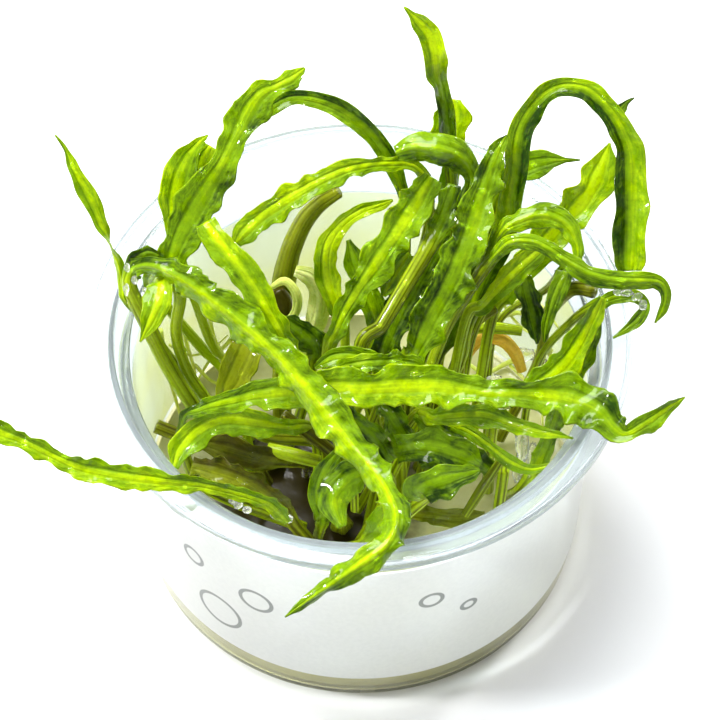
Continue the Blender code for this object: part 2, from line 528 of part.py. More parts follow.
# Leaves low in the front of the cup
LOW_LEAVES = [
    ("leaf_curled_front", ("front", 12), DEEP_GREEN, -0.16,
     [(6, -26, -18, 2.4)],
     [(3, -22.6, -2, 4), (-2, -23.6, 2, 7), (-5.4, -28, 3, 7), (-3.6, -33.4, 4, 2)]),
    ("leaf_front_low", ("front", 10), DEEP_GREEN, 0.12,
     [(0, -37, -14, 2.6)],
     [(3.4, -35, -6, 6), (6, -31.4, -3, 7), (9.4, -28.6, -2, 3)]),
    ("leaf_broad_front", ("front", 0), DEEP_GREEN, 0.12,
     [(5, -20, -14, 2.4)],
     [(9, -17.6, 1, 5.6), (14.6, -17.4, 3, 7.4), (20, -19, 3, 6.4), (24, -21, 2, 2)]),
    ("leaf_broad_low", ("front", 11), DEEP_GREEN, 0.12,
     [(12.5, -28, -7, 2.6)],
     [(12, -26, 6, 6), (17, -24, 8, 7), (21.6, -22.8, 8, 4), (24, -22, 8, 1)]),
    ("leaf_olive_front", ("front", 13), OLIVE, 0.12,
     [(9, -31, -25, 2.4)],
     [(14, -31, -15, 3.8), (20, -31.6, -14, 4), (25, -31, -14, 1.4)]),
    ("leaf_narrow_front", ("front", 1), LIGHT_GREEN, 0.12,
     [(12, -13, -14, 2)],
     [(20, -13.6, -1, 2.4), (25, -16.6, 0, 2.6), (29.4, -20, -2, 2.6), (33.6, -21.8, -4, 2.4),
      (37, -21.4, -5.4, 1.6), (40, -20.4, -7, 0.4)]),
    ("leaf_under_across", ("front", 2), LEAF_GREEN, 0.12,
     [(10, -12, -7, 2)],
     [(15, -11.6, 4, 3.4), (19.6, -11, 6, 4.6), (25, -11, 7.4, 4.8), (31, -13, 10, 3.6),
      (37, -14.6, 13.5, 2.2), (42.6, -15.6, 17, 0.5)]),
    ("stalk_cut_front", None, DEEP_GREEN, 0,
     [(26.4, -41.4, -34, 2.4), (27.4, -32, -23, 2.4), (28.8, -22, -12, 2.4)],
     []),
    ("stalk_front_left", ("front", 8), LEAF_GREEN, 0.24,
     [(-8, -34, -27, 2.4)],
     [(-7.4, -31, -12, 3.4), (-8.2, -26.4, -8, 4.2), (-6.8, -21.8, -5, 4), (-4.4, -18.6, -3, 2.4)]),
]

FINISH_NAMES = {
    LEAF_GREEN: "leaf_green",
    LIGHT_GREEN: "leaf_light",
    DEEP_GREEN: "leaf_deep",
    OLIVE: "stalk_olive",
    AMBER: "stalk_amber",
    PALE: "sheath_pale",
}


def build_leaves():
    for group in (FRONT_LEAVES, LEFT_LEAVES, MIDDLE_LEAVES, RIGHT_LEAVES, LOW_LEAVES):
        for name, foot, colour, fold, stalk, blade in group:
            build_leaf(name, foot, fold, stalk, blade, material(FINISH_NAMES[colour], colour))


def main():
    clear_scene()
    build_cup(material("clear_plastic", (0.92, 0.95, 0.97), 0.08, 0.25))
    build_sleeve(material("label_paper", (0.93, 0.94, 0.93), 0.45))
    build_gel(material("gel", (0.62, 0.62, 0.36), 0.15, 0.6))
    for name, place in CROWNS.items():
        build_crown(name, place, material("crown_olive", (0.30, 0.32, 0.10), 0.5))
    build_leaves()


main()
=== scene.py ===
"""Dresses the CAD frame of a young aquarium plant in its clear cup, and sets the stage for a picture of it.

Lengths in the tables and the shape functions are in millimetres, and turn into metres where a mesh is made.
"""
import math

import bpy
import numpy as np
from mathutils import Matrix, Vector, noise


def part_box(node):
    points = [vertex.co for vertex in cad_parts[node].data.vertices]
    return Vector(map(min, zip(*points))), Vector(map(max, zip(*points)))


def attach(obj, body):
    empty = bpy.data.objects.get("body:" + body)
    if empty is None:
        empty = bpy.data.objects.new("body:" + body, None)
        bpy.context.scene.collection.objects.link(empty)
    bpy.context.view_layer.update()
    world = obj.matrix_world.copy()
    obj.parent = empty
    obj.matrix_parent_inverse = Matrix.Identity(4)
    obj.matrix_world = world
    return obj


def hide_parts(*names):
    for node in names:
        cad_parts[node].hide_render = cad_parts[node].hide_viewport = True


bl_info = {
    "name": "Aquarium Plant in a Cup",
    "version": (1, 0, 0),
    "blender": (4, 5, 0),
    "location": "View3D > Sidebar > Plant",
    "description": "Builds the crinkled leaves, cup, label, gel, roots and water of a potted aquarium plant",
    "category": "Object",
}

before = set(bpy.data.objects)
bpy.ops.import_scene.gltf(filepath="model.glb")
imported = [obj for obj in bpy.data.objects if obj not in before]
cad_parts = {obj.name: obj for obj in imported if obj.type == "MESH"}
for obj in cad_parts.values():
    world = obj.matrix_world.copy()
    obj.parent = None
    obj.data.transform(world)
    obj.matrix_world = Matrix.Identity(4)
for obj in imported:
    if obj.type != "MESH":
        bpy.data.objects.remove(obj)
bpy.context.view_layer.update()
MM = 0.001
CUP_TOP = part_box("cup")[1].z / MM
FLANGE_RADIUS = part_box("cup")[1].x / MM
GEL_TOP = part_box("gel")[1].z / MM
SLEEVE_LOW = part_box("sleeve_label")[0].z / MM
SLEEVE_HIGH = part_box("sleeve_label")[1].z / MM

# The station that the picture is taken from, and the plane through the cup's mouth that routes are drawn on
VIEW_DISTANCE = 500.0
VIEW_PITCH = math.radians(54.69)
MOUTH_ABOVE_AIM = 5.96
LENS = 125.0
SENSOR = 36.0
RIGHT = np.array([1.0, 0.0, 0.0])
TOWARD = np.array([0.0, -math.cos(VIEW_PITCH), math.sin(VIEW_PITCH)])
UP = np.cross(TOWARD, RIGHT)
AIM = np.array([0.0, 0.0, CUP_TOP]) - MOUTH_ABOVE_AIM * UP
EYE = AIM + VIEW_DISTANCE * TOWARD

# Crowns as in the CAD model, the places for leaves in a ring around each, and the gap between pieces
CROWNS = {
    "left": (-19.0, 5.0),
    "middle": (-3.0, 9.0),
    "front": (-4.0, -12.0),
    "right": (14.0, 3.0),
    "edge": (29.0, 3.0),
}
CROWN_RADIUS = 3.0
CROWN_HEIGHT = 5.0
CROWN_TAPER = 0.45
BASE_RING = 5.6
BASE_RING_STEP = 2.4
BASE_LIFT = 0.4
BASES_PER_CROWN = 14
GAP = 0.3

# How a leaf's mesh is cut up, and how round a stalk is
COLUMNS = 22
LEAF_STEP = 0.75
STALK_ROUNDNESS = 0.85
FRAME_SMOOTHING = 24

# The cup's roundings, and the steps around the cup and the sleeve
FOOT_ROUND = 1.6
INNER_ROUND = 1.2
MOUTH_ROUND = 0.6
FLANGE_ROUND = 0.5
FLANGE_BEND = 0.4
CUP_TURNED = 180
LABEL_THICKNESS = 0.45

# How far the gel's top lies below its edge, and the steps around the gel
GEL_SUNK = 0.9
GEL_TURNED = 96

# A margin's waves. Lengths are in shares of the leaf's own wave, heights in shares of its own ruffle.
BROAD_LENGTH = 1.5
FINE_LENGTH = 0.42
FINE_HEIGHT = 0.75
LOBE_LENGTH = 2.9
LOBE_SIZE = 0.22
LOBE_PER_WAVE = 0.11
LOBE_PER_CRINKLE = 0.04
OVERHANG = 0.15
PUCKER_LENGTH = 2.7
PUCKER_HEIGHT = 0.55
DENT_LENGTH = 3.3
DENT_HEIGHT = 0.12
FOLD_LENGTH = 19.0
FOLD_CHANGE = 0.7
TWIST_LENGTH = 26.0
RIB_WIDTH = 0.16
THINNER_EDGE = 0.6
TONE_STEEPNESS = 3.5

# A leaf: name, foot (crown, place), slot, (tone left, tone right, tone of stalk), (ruffle mm, wave mm, fold),
# stalk points and blade points, each (across, up, toward, width[, turn, shade]). Tone 0 is deep green, 1 is
# light yellow-green, and shade adds to it. The tones are partly the leaf's own green and partly painted light
# and shade: the lit and the shaded side of a folded leaf, and leaves lying in shade. A station's shade is
# painted shade where it is below 0 and painted light where it is above 0.
FRONT_LEAVES = [
    ("leaf_hanging", ("left", 9), "leaf_light", (0.36, 0.58, 0.55), (1.3, 4.6, -0.2),
     [(-33, -9.6, -20, 3.2), (-38.4, -1, -11, 3.4), (-43, 8, -3, 3.2), (-46, 14.6, 1.4, 3)],
     [(-45.4, 18, 4.4, 3.4, 0, -0.2), (-41.6, 18.8, 8, 4.6, 10, -0.14), (-36.4, 16.6, 10.4, 5.8, 20, -0.06),
      (-30.6, 12.6, 12, 6.8, 26, -0.04), (-24, 7.4, 13.5, 7.4, 26, -0.04), (-17.6, 1.8, 15, 6.8, 22, 0.02),
      (-11.4, -5, 16.4, 7.2, 14, 0.04), (-6, -11.4, 18.4, 7.2, 6, 0.04), (-1.4, -17.2, 20.6, 6.6),
      (3.2, -22.8, 25, 5.4, 0, -0.06), (6.6, -28.6, 30.4, 5.2, 0, -0.1), (7.2, -33, 34, 5.2, 0, -0.06),
      (5.4, -36.8, 36.5, 5.2), (2, -39.6, 37, 5), (-3, -43, 35.5, 4.4, 0, -0.1),
      (-8, -46.4, 34, 2.8, 0, -0.14), (-12, -49.2, 33.2, 1.4, 0, -0.16), (-15, -51.4, 33, 0.4, 0, -0.16)]),
    ("leaf_across", ("front", 7), "leaf_light", (0.4, 0.5, 0.3), (1.2, 5.2, 0.12),
     [(-30, -26, -28, 2.6), (-35.4, -18, -10, 2.4)],
     [(-35.2, -11.6, 0, 1.8, 0, -0.2), (-31.6, -9.8, 4, 3, 0, -0.14), (-26, -8.2, 7, 4.6, 0, -0.06),
      (-18, -6.6, 9, 6.2), (-9, -5.8, 10, 7.2, 0, 0.08), (0, -5.6, 10, 7.4, 0, 0.08),
      (9, -5.2, 10.6, 8.2, 0, 0.06), (17, -5.2, 11.4, 7.6), (25, -6.6, 13, 5.2, 0, -0.06),
      (31, -6.6, 14.6, 5, 0, -0.06), (38, -7, 16.4, 7.6), (43.6, -8.2, 18, 9, 0, -0.1),
      (48, -10.4, 19.4, 8.4, 0, -0.18), (51, -13.6, 20.6, 5.4, 0, -0.14), (53.4, -14.8, 21.2, 3.4),
      (57, -12.8, 22, 3.6), (61, -10, 23, 3), (65, -7.4, 24, 0.4)]),
    ("leaf_across_fold", ("front", 6), "leaf_light", (0.44, 0.64, 0.3), (0.6, 5.0, 0.14),
     [(-9, -15, -12, 2.2)],
     [(-14.6, -13.6, 0, 3.4), (-20.6, -12.6, 2.6, 5.4), (-26.8, -12, 1.4, 6.2), (-32, -14, -0.4, 6),
      (-35.6, -17.8, -1.4, 4.8), (-37.2, -21.6, -1, 2)]),
    ("leaf_over_left_rim", None, "leaf_green", (0.62, 0.44, 0.4), (0.8, 3.4, 0.12),
     [],
     [(-14.4, -32.4, 12, 2.4), (-18, -29, 16, 3), (-25, -26.6, 21, 2.6), (-32, -25, 25, 2.8),
      (-40, -24.2, 27, 4), (-48, -23.2, 28, 4.6), (-55.6, -21.6, 28, 4.2), (-61, -19.4, 28, 3.2),
      (-67, -16.4, 28, 3.4), (-72, -14.4, 28, 4), (-77, -12.2, 29, 2.6), (-82, -9.6, 30, 0.4)]),
    ("leaf_steep_left", ("left", 2), "leaf_light", (0.44, 0.6, 0.35), (0.6, 5.6, 0.1),
     [(-11, -6, -14, 2.4)],
     [(-15, 3.4, 6, 4), (-18, 9, 8, 5.6), (-22, 15.4, 9, 6), (-26.2, 21, 9, 5.6), (-29.6, 25.4, 8.6, 5),
      (-31, 27.4, 8, 4)]),
]

LEFT_LEAVES = [
    ("leaf_far_left", ("left", 7), "leaf_green", (0.5, 0.7, 0.35), (0.15, 5.4, 0.16),
     [(-30, -10, -33, 1.8), (-39, 2, -13, 1.8)],
     [(-46.6, 11.4, -2, 1.6, 170), (-47.4, 14.2, -1, 1.8, 170), (-48.2, 18.6, 1, 2.2, 150),
      (-50, 23, 2.4, 2.4, 95), (-52.2, 27.8, 4, 2.9, 25), (-54.2, 32.8, 5.4, 3.7), (-57.2, 38.2, 7, 2.4),
      (-58.9, 42.2, 7.6, 0.9), (-61, 45, 8, 0.4)]),
    ("leaf_tall_left", ("left", 8), "leaf_green", (0.46, 0.34, 0.75), (0.8, 5.4, 0.1),
     [(-30, -9, -24, 2.4), (-34.6, -2, -15, 2.4), (-36.8, 5.6, -7, 2.4), (-36, 12.8, 1, 2.6)],
     [(-37.4, 19, 3, 5), (-36, 24.4, 4, 7.4), (-33.4, 29, 5, 8.8), (-31.4, 32.4, 6, 8.4), (-29.4, 36, 7, 7),
      (-27.2, 39.6, 8, 5.8), (-25.4, 43.2, 8.6, 5.2), (-23.6, 46.6, 9, 6.6), (-22, 50, 9.4, 7.6),
      (-19.8, 53, 10, 6), (-16.8, 54.6, 10.6, 3.6), (-14, 55.8, 11, 4.4), (-12.2, 57.2, 11.6, 2.4),
      (-11, 58.4, 12, 0.5)]),
    ("leaf_folded_left", ("left", 6), "leaf_green", (0.6, 0.34, 0.9), (0.15, 7.0, 0.2),
     [(-26, -2.4, -28, 2), (-29.6, 3, -13, 2), (-32.6, 11, -4.5, 2)],
     [(-36.6, 22, -4, 2.4), (-37.4, 28.4, -3.4, 4), (-37, 32.4, -3, 6.6), (-36, 36.4, -2.4, 7.4),
      (-34.4, 40, -1.6, 5.6), (-32.4, 43, -0.8, 2.8), (-30.4, 45, 0, 0.4)]),
    ("leaf_bent_down", ("left", 5), "leaf_light", (0.6, 0.52, 1.0), (0.3, 6.0, 0.1),
     [(-26.4, -3.2, -34, 2.4), (-31.6, 2.4, -25, 2.4), (-37.6, 9.4, -12, 2.2)],
     [(-41.8, 14.8, -4, 3), (-41, 16.8, 2.6, 4), (-39.8, 15.4, 6.6, 6), (-40.2, 12, 8, 6.4),
      (-41.6, 8.4, 8.4, 4.2), (-44, 3.6, 8, 0.4)]),
    ("stalk_cut_left", ("left", 10), "stalk_olive", (0.4, 0.4, 0.2), (0, 4, 0),
     [(-24, -16.8, -22, 2.8), (-34, -15.6, -15, 3), (-40.8, -13.2, -13, 3)],
     []),
    ("leaf_olive_inner", ("front", 5), "stalk_olive", (1.05, 0.85, 0.5), (0.5, 5.0, 0.12),
     [(-7.4, -17.4, -27, 2.4), (-20, -15, -16, 2.4)],
     [(-26.2, -7.4, -8, 5), (-25.2, -3.4, -6.4, 7.4), (-23, 1.6, -6, 7.2), (-20.6, 6.4, -7, 5.8),
      (-19, 10, -8, 3)]),
    ("leaf_brown_inner", ("left", 13), "stalk_olive", (0.16, 0.04, 0.1), (0.3, 5.0, 0.1),
     [(-11, -20.8, -27, 2.2), (-15, -20.4, -17, 2.4)],
     [(-20, -19.6, -13, 5.6), (-26, -18, -10, 6), (-31.6, -16.6, -8, 3)]),
    ("leaf_wet_low", ("front", 9), "stalk_olive", (0.62, 0.12, 0.3), (1.2, 2.6, 0.1),
     [(-13, -33, -16, 3)],
     [(-16.6, -28.4, -4, 4.4), (-22.4, -24.6, 0, 5.2), (-28, -22.4, 0.6, 5.2), (-33.6, -21, 0, 3.6)]),
]

MIDDLE_LEAVES = [
    ("leaf_arch_left", ("middle", 5), "leaf_green", (0.48, 0.2, 0.3), (0.15, 8.0, 0.2),
     [(7, 12, -22, 2), (9.4, 26, -11, 1.8)],
     [(8.8, 32.2, -8, 2.2), (6.6, 38.4, -5, 3.4), (3.6, 43.6, -2.4, 3.8), (0, 47.4, 0, 3.8),
      (-4.6, 50.4, 2, 3.7), (-9.4, 52, 3.6, 3.5), (-13.6, 52.2, 4.6, 3.2), (-17, 50.8, 5, 3),
      (-19, 49.4, 5, 2.4)]),
    ("leaf_upright", ("middle", 1), "leaf_green", (0.5, 0.66, 0.25), (0.15, 6.0, 0.2),
     [(16, 14, -26, 2.2), (18.4, 30, -16, 2.2)],
     [(17.8, 42, -6, 3.2, 20, -0.26), (17, 47.4, -2, 3.8, 26, -0.3), (16.3, 52, 1, 4.2, 32, -0.3),
      (15.7, 55, 2.6, 4.3, 32, -0.22), (15.1, 57.6, 4, 4.5, 8, 0.05), (15, 61, 6, 4.9, 0, 0.1),
      (14, 64.8, 7.4, 4.6, 0, 0.1), (11.9, 67.4, 8.6, 3.8), (10, 69.4, 9.4, 1.3), (8.8, 70.6, 10, 0.4)]),
    ("leaf_lobe_back", ("middle", 3), "leaf_light", (0.55, 0.7, 0.4), (0.6, 4.0, 0.1),
     [(14, 20, -34, 1.8)],
     [(18, 36, -22, 4), (18, 43, -16, 7.6), (18.2, 48.4, -13, 7.6), (18.6, 52.2, -12, 3.6)]),
    ("leaf_knot", ("right", 5), "leaf_green", (0.22, 0.38, 0.3), (0.5, 5.0, -0.2),
     [(14, 6, -12, 2.2), (20, 22, -2, 2.2)],
     [(21.4, 31, 3, 3.4, 0, -0.1), (22.6, 36.4, 6, 4.4), (20.6, 40, 9, 5.6), (17, 41.8, 11, 6.2),
      (13, 42.4, 11, 6.4), (9.8, 42.4, 10, 5.6), (7.2, 41.4, 9, 3)]),
    ("leaf_wet_across", ("middle", 4), "leaf_green", (0.5, 0.62, 0.3), (0.7, 4.2, 0.12),
     [(11, 18, -24, 2), (14, 33, -10, 2)],
     [(11, 38.6, -4, 2.6), (5, 39.2, -1, 3), (-1, 38.4, 1, 3.6), (-6, 36.6, 2, 4.6), (-12, 33.4, 3, 5),
      (-18, 29.8, 3, 5.2), (-22.4, 26, 3, 5.4), (-24.8, 23.4, 3, 2)]),
    ("stalk_olive_back", ("left", 3), "stalk_olive", (0.4, 0.4, 0.55), (0, 4, 0),
     [(-15.6, 9, -34, 4.2), (-15.2, 15.6, -27, 5.2), (-13.8, 22, -20.6, 4.4), (-11, 28, -15, 4),
      (-7.6, 31.6, -10, 3.4), (-4.4, 33.6, -7, 2.8)],
     []),
    ("sheath_pale", ("middle", 6), "sheath_pale", (0.85, 0.62, 0.8), (0.1, 6.0, -0.22),
     [(-11.4, 3.6, -34, 3)],
     [(-9.4, 6.6, -30, 4.4), (-8.2, 10, -26, 5), (-8.2, 13.8, -22.4, 4.8), (-10, 16.6, -20.6, 4),
      (-13, 17.8, -20, 2.4)]),
    ("leaf_yellow_tip", ("middle", 10), "leaf_light", (0.62, 0.85, 0.7), (0.35, 4.0, 0.12),
     [(-3, 6, -20, 2)],
     [(-5, 11, -14, 4), (-6.8, 17, -13, 5), (-6.4, 22.8, -12, 4.6), (-3.6, 27, -11, 3.4),
      (0.4, 29.8, -11, 2.8), (4, 31, -11, 2.4), (6.6, 32, -11, 0.5)]),
    ("leaf_between", ("middle", 12), "leaf_green", (0.46, 0.3, 0.4), (0.6, 4.4, 0.12),
     [(5, 2, -26, 2)],
     [(3.4, 8, -14, 4.6), (1.4, 14, -11, 5.4), (-0.8, 19.6, -10, 4.4), (-2.4, 24, -10, 1.2)]),
    ("leaf_broad_centre", ("front", 3), "leaf_light", (0.44, 0.4, 0.45), (1.3, 4.4, 0.1),
     [(-6.4, -2, -14, 2.4)],
     [(-4.6, 6, -4, 3.6), (-1, 13, -2, 5.4), (3.8, 20, 0, 7), (7.8, 26, 1.4, 7.4), (11.4, 31.6, 3, 7.2),
      (14.4, 36.6, 4, 4.6)]),
    ("leaf_stiff_centre", ("right", 7), "leaf_deep", (0.4, 0.2, 0.3), (0.9, 4.0, 0.1),
     [(0, 1, 0, 2.8), (4.4, 7, 1, 3), (8.6, 14, 1, 3.2), (12.8, 21, 0.6, 3.4)],
     [(15.8, 26.6, 0, 4.4), (17.8, 31.4, -0.6, 5), (19, 35, -1, 2.6)]),
    ("leaf_dark_centre", ("middle", 11), "leaf_deep", (0.1, 0.22, 0.3), (1.1, 3.4, 0.1),
     [(4, -3, -16, 2)],
     [(5, 2.6, -7, 5.4), (7.6, 9, -6.4, 7), (11.4, 15.6, -6.4, 6.6), (15, 22, -6.4, 4.4),
      (17.6, 27, -6.4, 1.6)]),
    ("leaf_ribbed_centre", ("right", 9), "leaf_green", (0.26, 0.34, 0.4), (1.4, 4.0, 0.12),
     [(8, -4, -8, 2.8)],
     [(11.2, 1.6, 4, 5), (13.4, 6.6, 5.6, 7.6), (16.4, 12.4, 6.8, 8), (19.4, 18.4, 7.6, 8),
      (22, 25, 8, 7.6), (24.2, 32.4, 8, 6.6), (26.4, 39, 8, 4.8), (28.2, 43, 8, 2.4), (29.4, 45, 8, 0.5)]),
    ("leaf_dark_right", ("right", 10), "leaf_deep", (0.12, 0.26, 0.3), (1.0, 3.6, 0.1),
     [(15, -2, -22, 2)],
     [(18, 5, -16, 4.6), (21, 11.4, -13, 6), (23.8, 18, -11, 6), (26.2, 24, -9, 4.6), (27.6, 28.6, -8, 1.4)]),
    ("leaf_dark_fold", ("middle", 9), "leaf_deep", (0.25, 0.12, 0.3), (0.9, 3.2, 0.14),
     [(-9.6, -2, -20, 2)],
     [(-8.8, 1.6, -14, 4.4), (-10.8, 4.6, -11.4, 6.4), (-13.6, 6.8, -10.6, 5), (-15.4, 8.2, -10.6, 1.5)]),
    ("leaf_olive_point", ("front", 4), "leaf_green", (0.5, 0.25, 0.3), (0.5, 4.4, 0.14),
     [(4, -8, -8, 1.8)],
     [(4.2, -1.6, 4, 3), (0, 0.4, 5, 4.4), (-5, 0.6, 4.4, 3.8), (-9, -1.6, 4, 1)]),
]

RIGHT_LEAVES = [
    ("leaf_arch_right", ("right", 4), "leaf_green", (0.6, 0.1, 0.4), (0.2, 7.0, 0.26),
     [(19.4, -1, -19.4, 3), (21, 6, -12, 3)],
     [(23.4, 13, -7.4, 4), (26.8, 21, -1.4, 4.8), (29.6, 28, 2, 5), (30.2, 32.4, 2.8, 5),
      (31, 37, 3.6, 4.8), (31.4, 42, 4.8, 4.8), (32.2, 46, 5.6, 4.8), (34.2, 49.8, 6.4, 4.6),
      (37.4, 53, 7, 4.3), (40, 54.3, 7.6, 4.1), (42.6, 54.5, 8, 4), (45.6, 53.7, 8, 4),
      (48.6, 51.2, 8, 4.2), (50.8, 48.4, 7.6, 4.6), (52.4, 45.2, 7, 5.2), (53.6, 42, 6.4, 6),
      (54, 38, 6, 6.2), (54, 33.6, 5.4, 6.4), (54, 28.6, 5, 6.8), (54, 24, 4.6, 7), (53.8, 19.8, 4.2, 6.6),
      (53.8, 17.8, 4, 5)]),
    ("leaf_tip_right", ("middle", 0), "leaf_green", (0.42, 0.3, 0.3), (0.4, 4.6, 0.14),
     [(18, 8, -28, 1.8), (24, 24, -16, 1.8)],
     [(29, 35.4, -8, 4), (33.8, 38.8, -6, 5.8), (37, 39.6, -5.6, 4.6), (39.4, 39.9, -5.2, 2.8),
      (41.2, 40, -5, 1.1), (44, 40, -5, 0.4)]),
    ("leaf_crinkled_right", ("edge", 6), "leaf_light", (0.66, 0.56, 0.5), (1.0, 5.4, 0.12),
     [(26, 7, -24, 2.4)],
     [(30, 14, -13, 4.4), (35, 20.6, -8.4, 6.2), (38.4, 25, -7, 7.2), (41, 28, -6.2, 5.4),
      (44, 30.8, -5.6, 8.2), (46, 33.6, -5.2, 6.8), (47.4, 36.4, -4.8, 7.8), (48.8, 39.8, -4.4, 4.8),
      (50, 43.4, -4, 0.6)]),
    ("leaf_curved_right", ("right", 6), "leaf_deep", (0.4, 0.52, 0.35), (0.5, 4.0, -0.12),
     [(13.6, -2, -16, 2.2), (17.2, 6, -9.6, 2.2), (22.8, 15.4, -1, 2.2)],
     [(28, 25, 7.4, 2.6), (32, 28, 9, 4.4), (37, 29, 9, 5), (41.4, 27, 9, 4.2), (43.6, 22.6, 9, 2.4),
      (43.4, 18.8, 9, 1)]),
    ("leaf_reaching_right", ("right", 8), "leaf_green", (0.46, 0.26, 0.35), (0.35, 5.0, -0.12),
     [(13, -5, -12, 2.4), (18, 8, -2, 2.4), (23.6, 16.4, 4.4, 2.4)],
     [(27.4, 21.2, 9.5, 2.6), (30.4, 23.6, 13, 3.2), (34.6, 23.6, 13.6, 3.4), (38, 22, 14, 3.2),
      (41.6, 19.6, 14, 3.2), (46, 17.2, 14, 3.8), (50.6, 16, 13.6, 4), (56, 15.8, 13, 3.4),
      (59.6, 15.6, 12.4, 2.8), (61.2, 13.6, 11.6, 2.6), (60.8, 10.6, 10.8, 2), (59, 7.4, 10, 0.4)]),
    ("leaf_small_right", ("edge", 0), "leaf_deep", (0.5, 0.4, 0.35), (0.3, 4.0, 0.12),
     [(35, -2, -18, 1.8), (42, 7.4, -3, 1.8)],
     [(49.4, 12, 6, 2.8), (54.4, 12.8, 8, 2.8), (57, 10.8, 8, 2.4), (55.2, 7.6, 8, 2.4),
      (50.6, 4.4, 8, 0.5)]),
    ("leaf_rising_right", ("edge", 10), "leaf_light", (0.42, 0.66, 0.4), (0.7, 4.0, 0.12),
     [(27, -11, -12, 2.6)],
     [(33, -6.6, 1, 4), (37, -4.2, 3, 5.6), (41, -0.6, 4.4, 6.2), (44, 3.6, 6, 5.4), (46.4, 8.6, 7.6, 4),
      (48.4, 12.6, 8.4, 1.6)]),
    ("leaf_behind_right", ("edge", 11), "leaf_deep", (0.4, 0.35, 0.35), (0.4, 4.4, 0.12),
     [(32.4, -26, -22, 3.4)],
     [(36, -20, -16, 3.8), (39.2, -11, -6, 3.6), (42.6, -3, 2, 4), (45.4, 2, 3, 4.4), (48, 9, 4, 1)]),
    ("leaf_midrib_right", ("right", 11), "leaf_light", (0.78, 0.46, 0.6), (0.5, 4.6, 0.1),
     [(20.6, 6, -5.5, 2.2)],
     [(24.6, 10.8, -2, 3.2), (30, 16.4, 2, 4.6), (34.6, 20.6, 4, 4.4), (37.6, 23, 5, 1)]),
    ("leaf_dark_hanging", ("right", 1), "leaf_deep", (0.14, 0.24, 0.3), (0.8, 3.0, 0.12),
     [(22, 3, -22, 1.8), (27, 13, -7, 1.8)],
     [(31.8, 17.6, -4, 3), (33.6, 12.4, -4, 4.8), (34.6, 8, -6, 4.2), (35.4, 3.2, -8, 0.6)]),
    ("leaf_dark_pointed", ("edge", 4), "leaf_deep", (0.3, 0.42, 0.3), (0.4, 3.4, 0.12),
     [(27, 6, -40, 1.6), (37, 14, -19, 1.6)],
     [(41, 17.6, 0, 3.4), (39, 12.6, 2, 3.6), (37.4, 7.4, 1, 2.2), (36.8, 3.6, 0, 0.5)]),
    ("stalk_cut_right", ("edge", 3), "stalk_olive", (0.4, 0.4, 0.5), (0, 4, 0),
     [(35.8, 0, -38, 2.4), (37, 8, -24, 2.8), (42, 14, -5, 3), (46.8, 13.8, 0, 3)],
     []),
    ("stalk_green_right", ("right", 3), "leaf_deep", (0.4, 0.4, 0.5), (0, 4, 0),
     [(16.4, 2.4, -36, 2.2), (22, 6, -30, 2.4), (27, 6.4, -30, 2.6), (32.4, 5.8, -30, 2.2)],
     []),
    ("stalk_amber", ("right", 2), "stalk_amber", (0.5, 0.5, 0.75), (0, 4, 0),
     [(19.6, -3, -36, 2.4), (22, 2.2, -34, 2.8), (25, 4.4, -33.4, 3), (28.4, 4, -33, 3),
      (31, 1.4, -33.4, 2.8), (32.4, -2.2, -35, 2.2)],
     []),
]

LOW_LEAVES = [
    ("leaf_curled_front", ("front", 12), "leaf_deep", (0.46, 0.24, 0.35), (0.4, 5.0, -0.16),
     [(6, -26, -18, 2.4)],
     [(3, -22.6, -2, 4), (-2, -23.6, 2, 7), (-5.4, -28, 3, 7), (-3.6, -33.4, 4, 2)]),
    ("leaf_front_low", ("front", 10), "leaf_deep", (0.45, 0.35, 0.35), (0.6, 4.4, 0.12),
     [(0, -37, -14, 2.6)],
     [(3.4, -35, -6, 6), (6, -31.4, -3, 7), (9.4, -28.6, -2, 3)]),
    ("leaf_broad_front", ("front", 0), "leaf_deep", (0.3, 0.2, 0.35), (0.7, 4.4, 0.12),
     [(5, -20, -14, 2.4)],
     [(9, -17.6, 1, 5.6), (14.6, -17.4, 3, 7.4), (20, -19, 3, 6.4), (24, -21, 2, 2)]),
    ("leaf_broad_low", ("front", 11), "leaf_deep", (0.4, 0.18, 0.35), (0.6, 5.0, 0.12),
     [(12.5, -28, -7, 2.6)],
     [(12, -26, 6, 6), (17, -24, 8, 7), (21.6, -22.8, 8, 4), (24, -22, 8, 1)]),
    ("leaf_olive_front", ("front", 13), "stalk_olive", (0.4, 0.35, 0.3), (0.4, 4.0, 0.12),
     [(9, -31, -25, 2.4)],
     [(14, -31, -15, 3.8), (20, -31.6, -14, 4), (25, -31, -14, 1.4)]),
    ("leaf_narrow_front", ("front", 1), "leaf_light", (0.56, 0.46, 0.5), (0.3, 4.6, 0.12),
     [(12, -13, -14, 2)],
     [(20, -13.6, -1, 2.4), (25, -16.6, 0, 2.6), (29.4, -20, -2, 2.6), (33.6, -21.8, -4, 2.4),
      (37, -21.4, -5.4, 1.6), (40, -20.4, -7, 0.4)]),
    ("leaf_under_across", ("front", 2), "leaf_green", (0.46, 0.58, 0.4), (0.6, 4.2, 0.12),
     [(10, -12, -7, 2)],
     [(15, -11.6, 4, 3.4), (19.6, -11, 6, 4.6), (25, -11, 7.4, 4.8), (31, -13, 10, 3.6),
      (37, -14.6, 13.5, 2.2), (42.6, -15.6, 17, 0.5)]),
    ("stalk_cut_front", None, "leaf_deep", (0.4, 0.4, 0.25), (0, 4, 0),
     [(26.4, -41.4, -34, 2.4), (27.4, -32, -23, 2.4), (28.8, -22, -12, 2.4)],
     []),
    ("stalk_front_left", ("front", 8), "leaf_green", (0.36, 0.26, 0.35), (0.2, 6.0, 0.24),
     [(-8, -34, -27, 2.4)],
     [(-7.4, -31, -12, 3.4), (-8.2, -26.4, -8, 4.2), (-6.8, -21.8, -5, 4), (-4.4, -18.6, -3, 2.4)]),
]


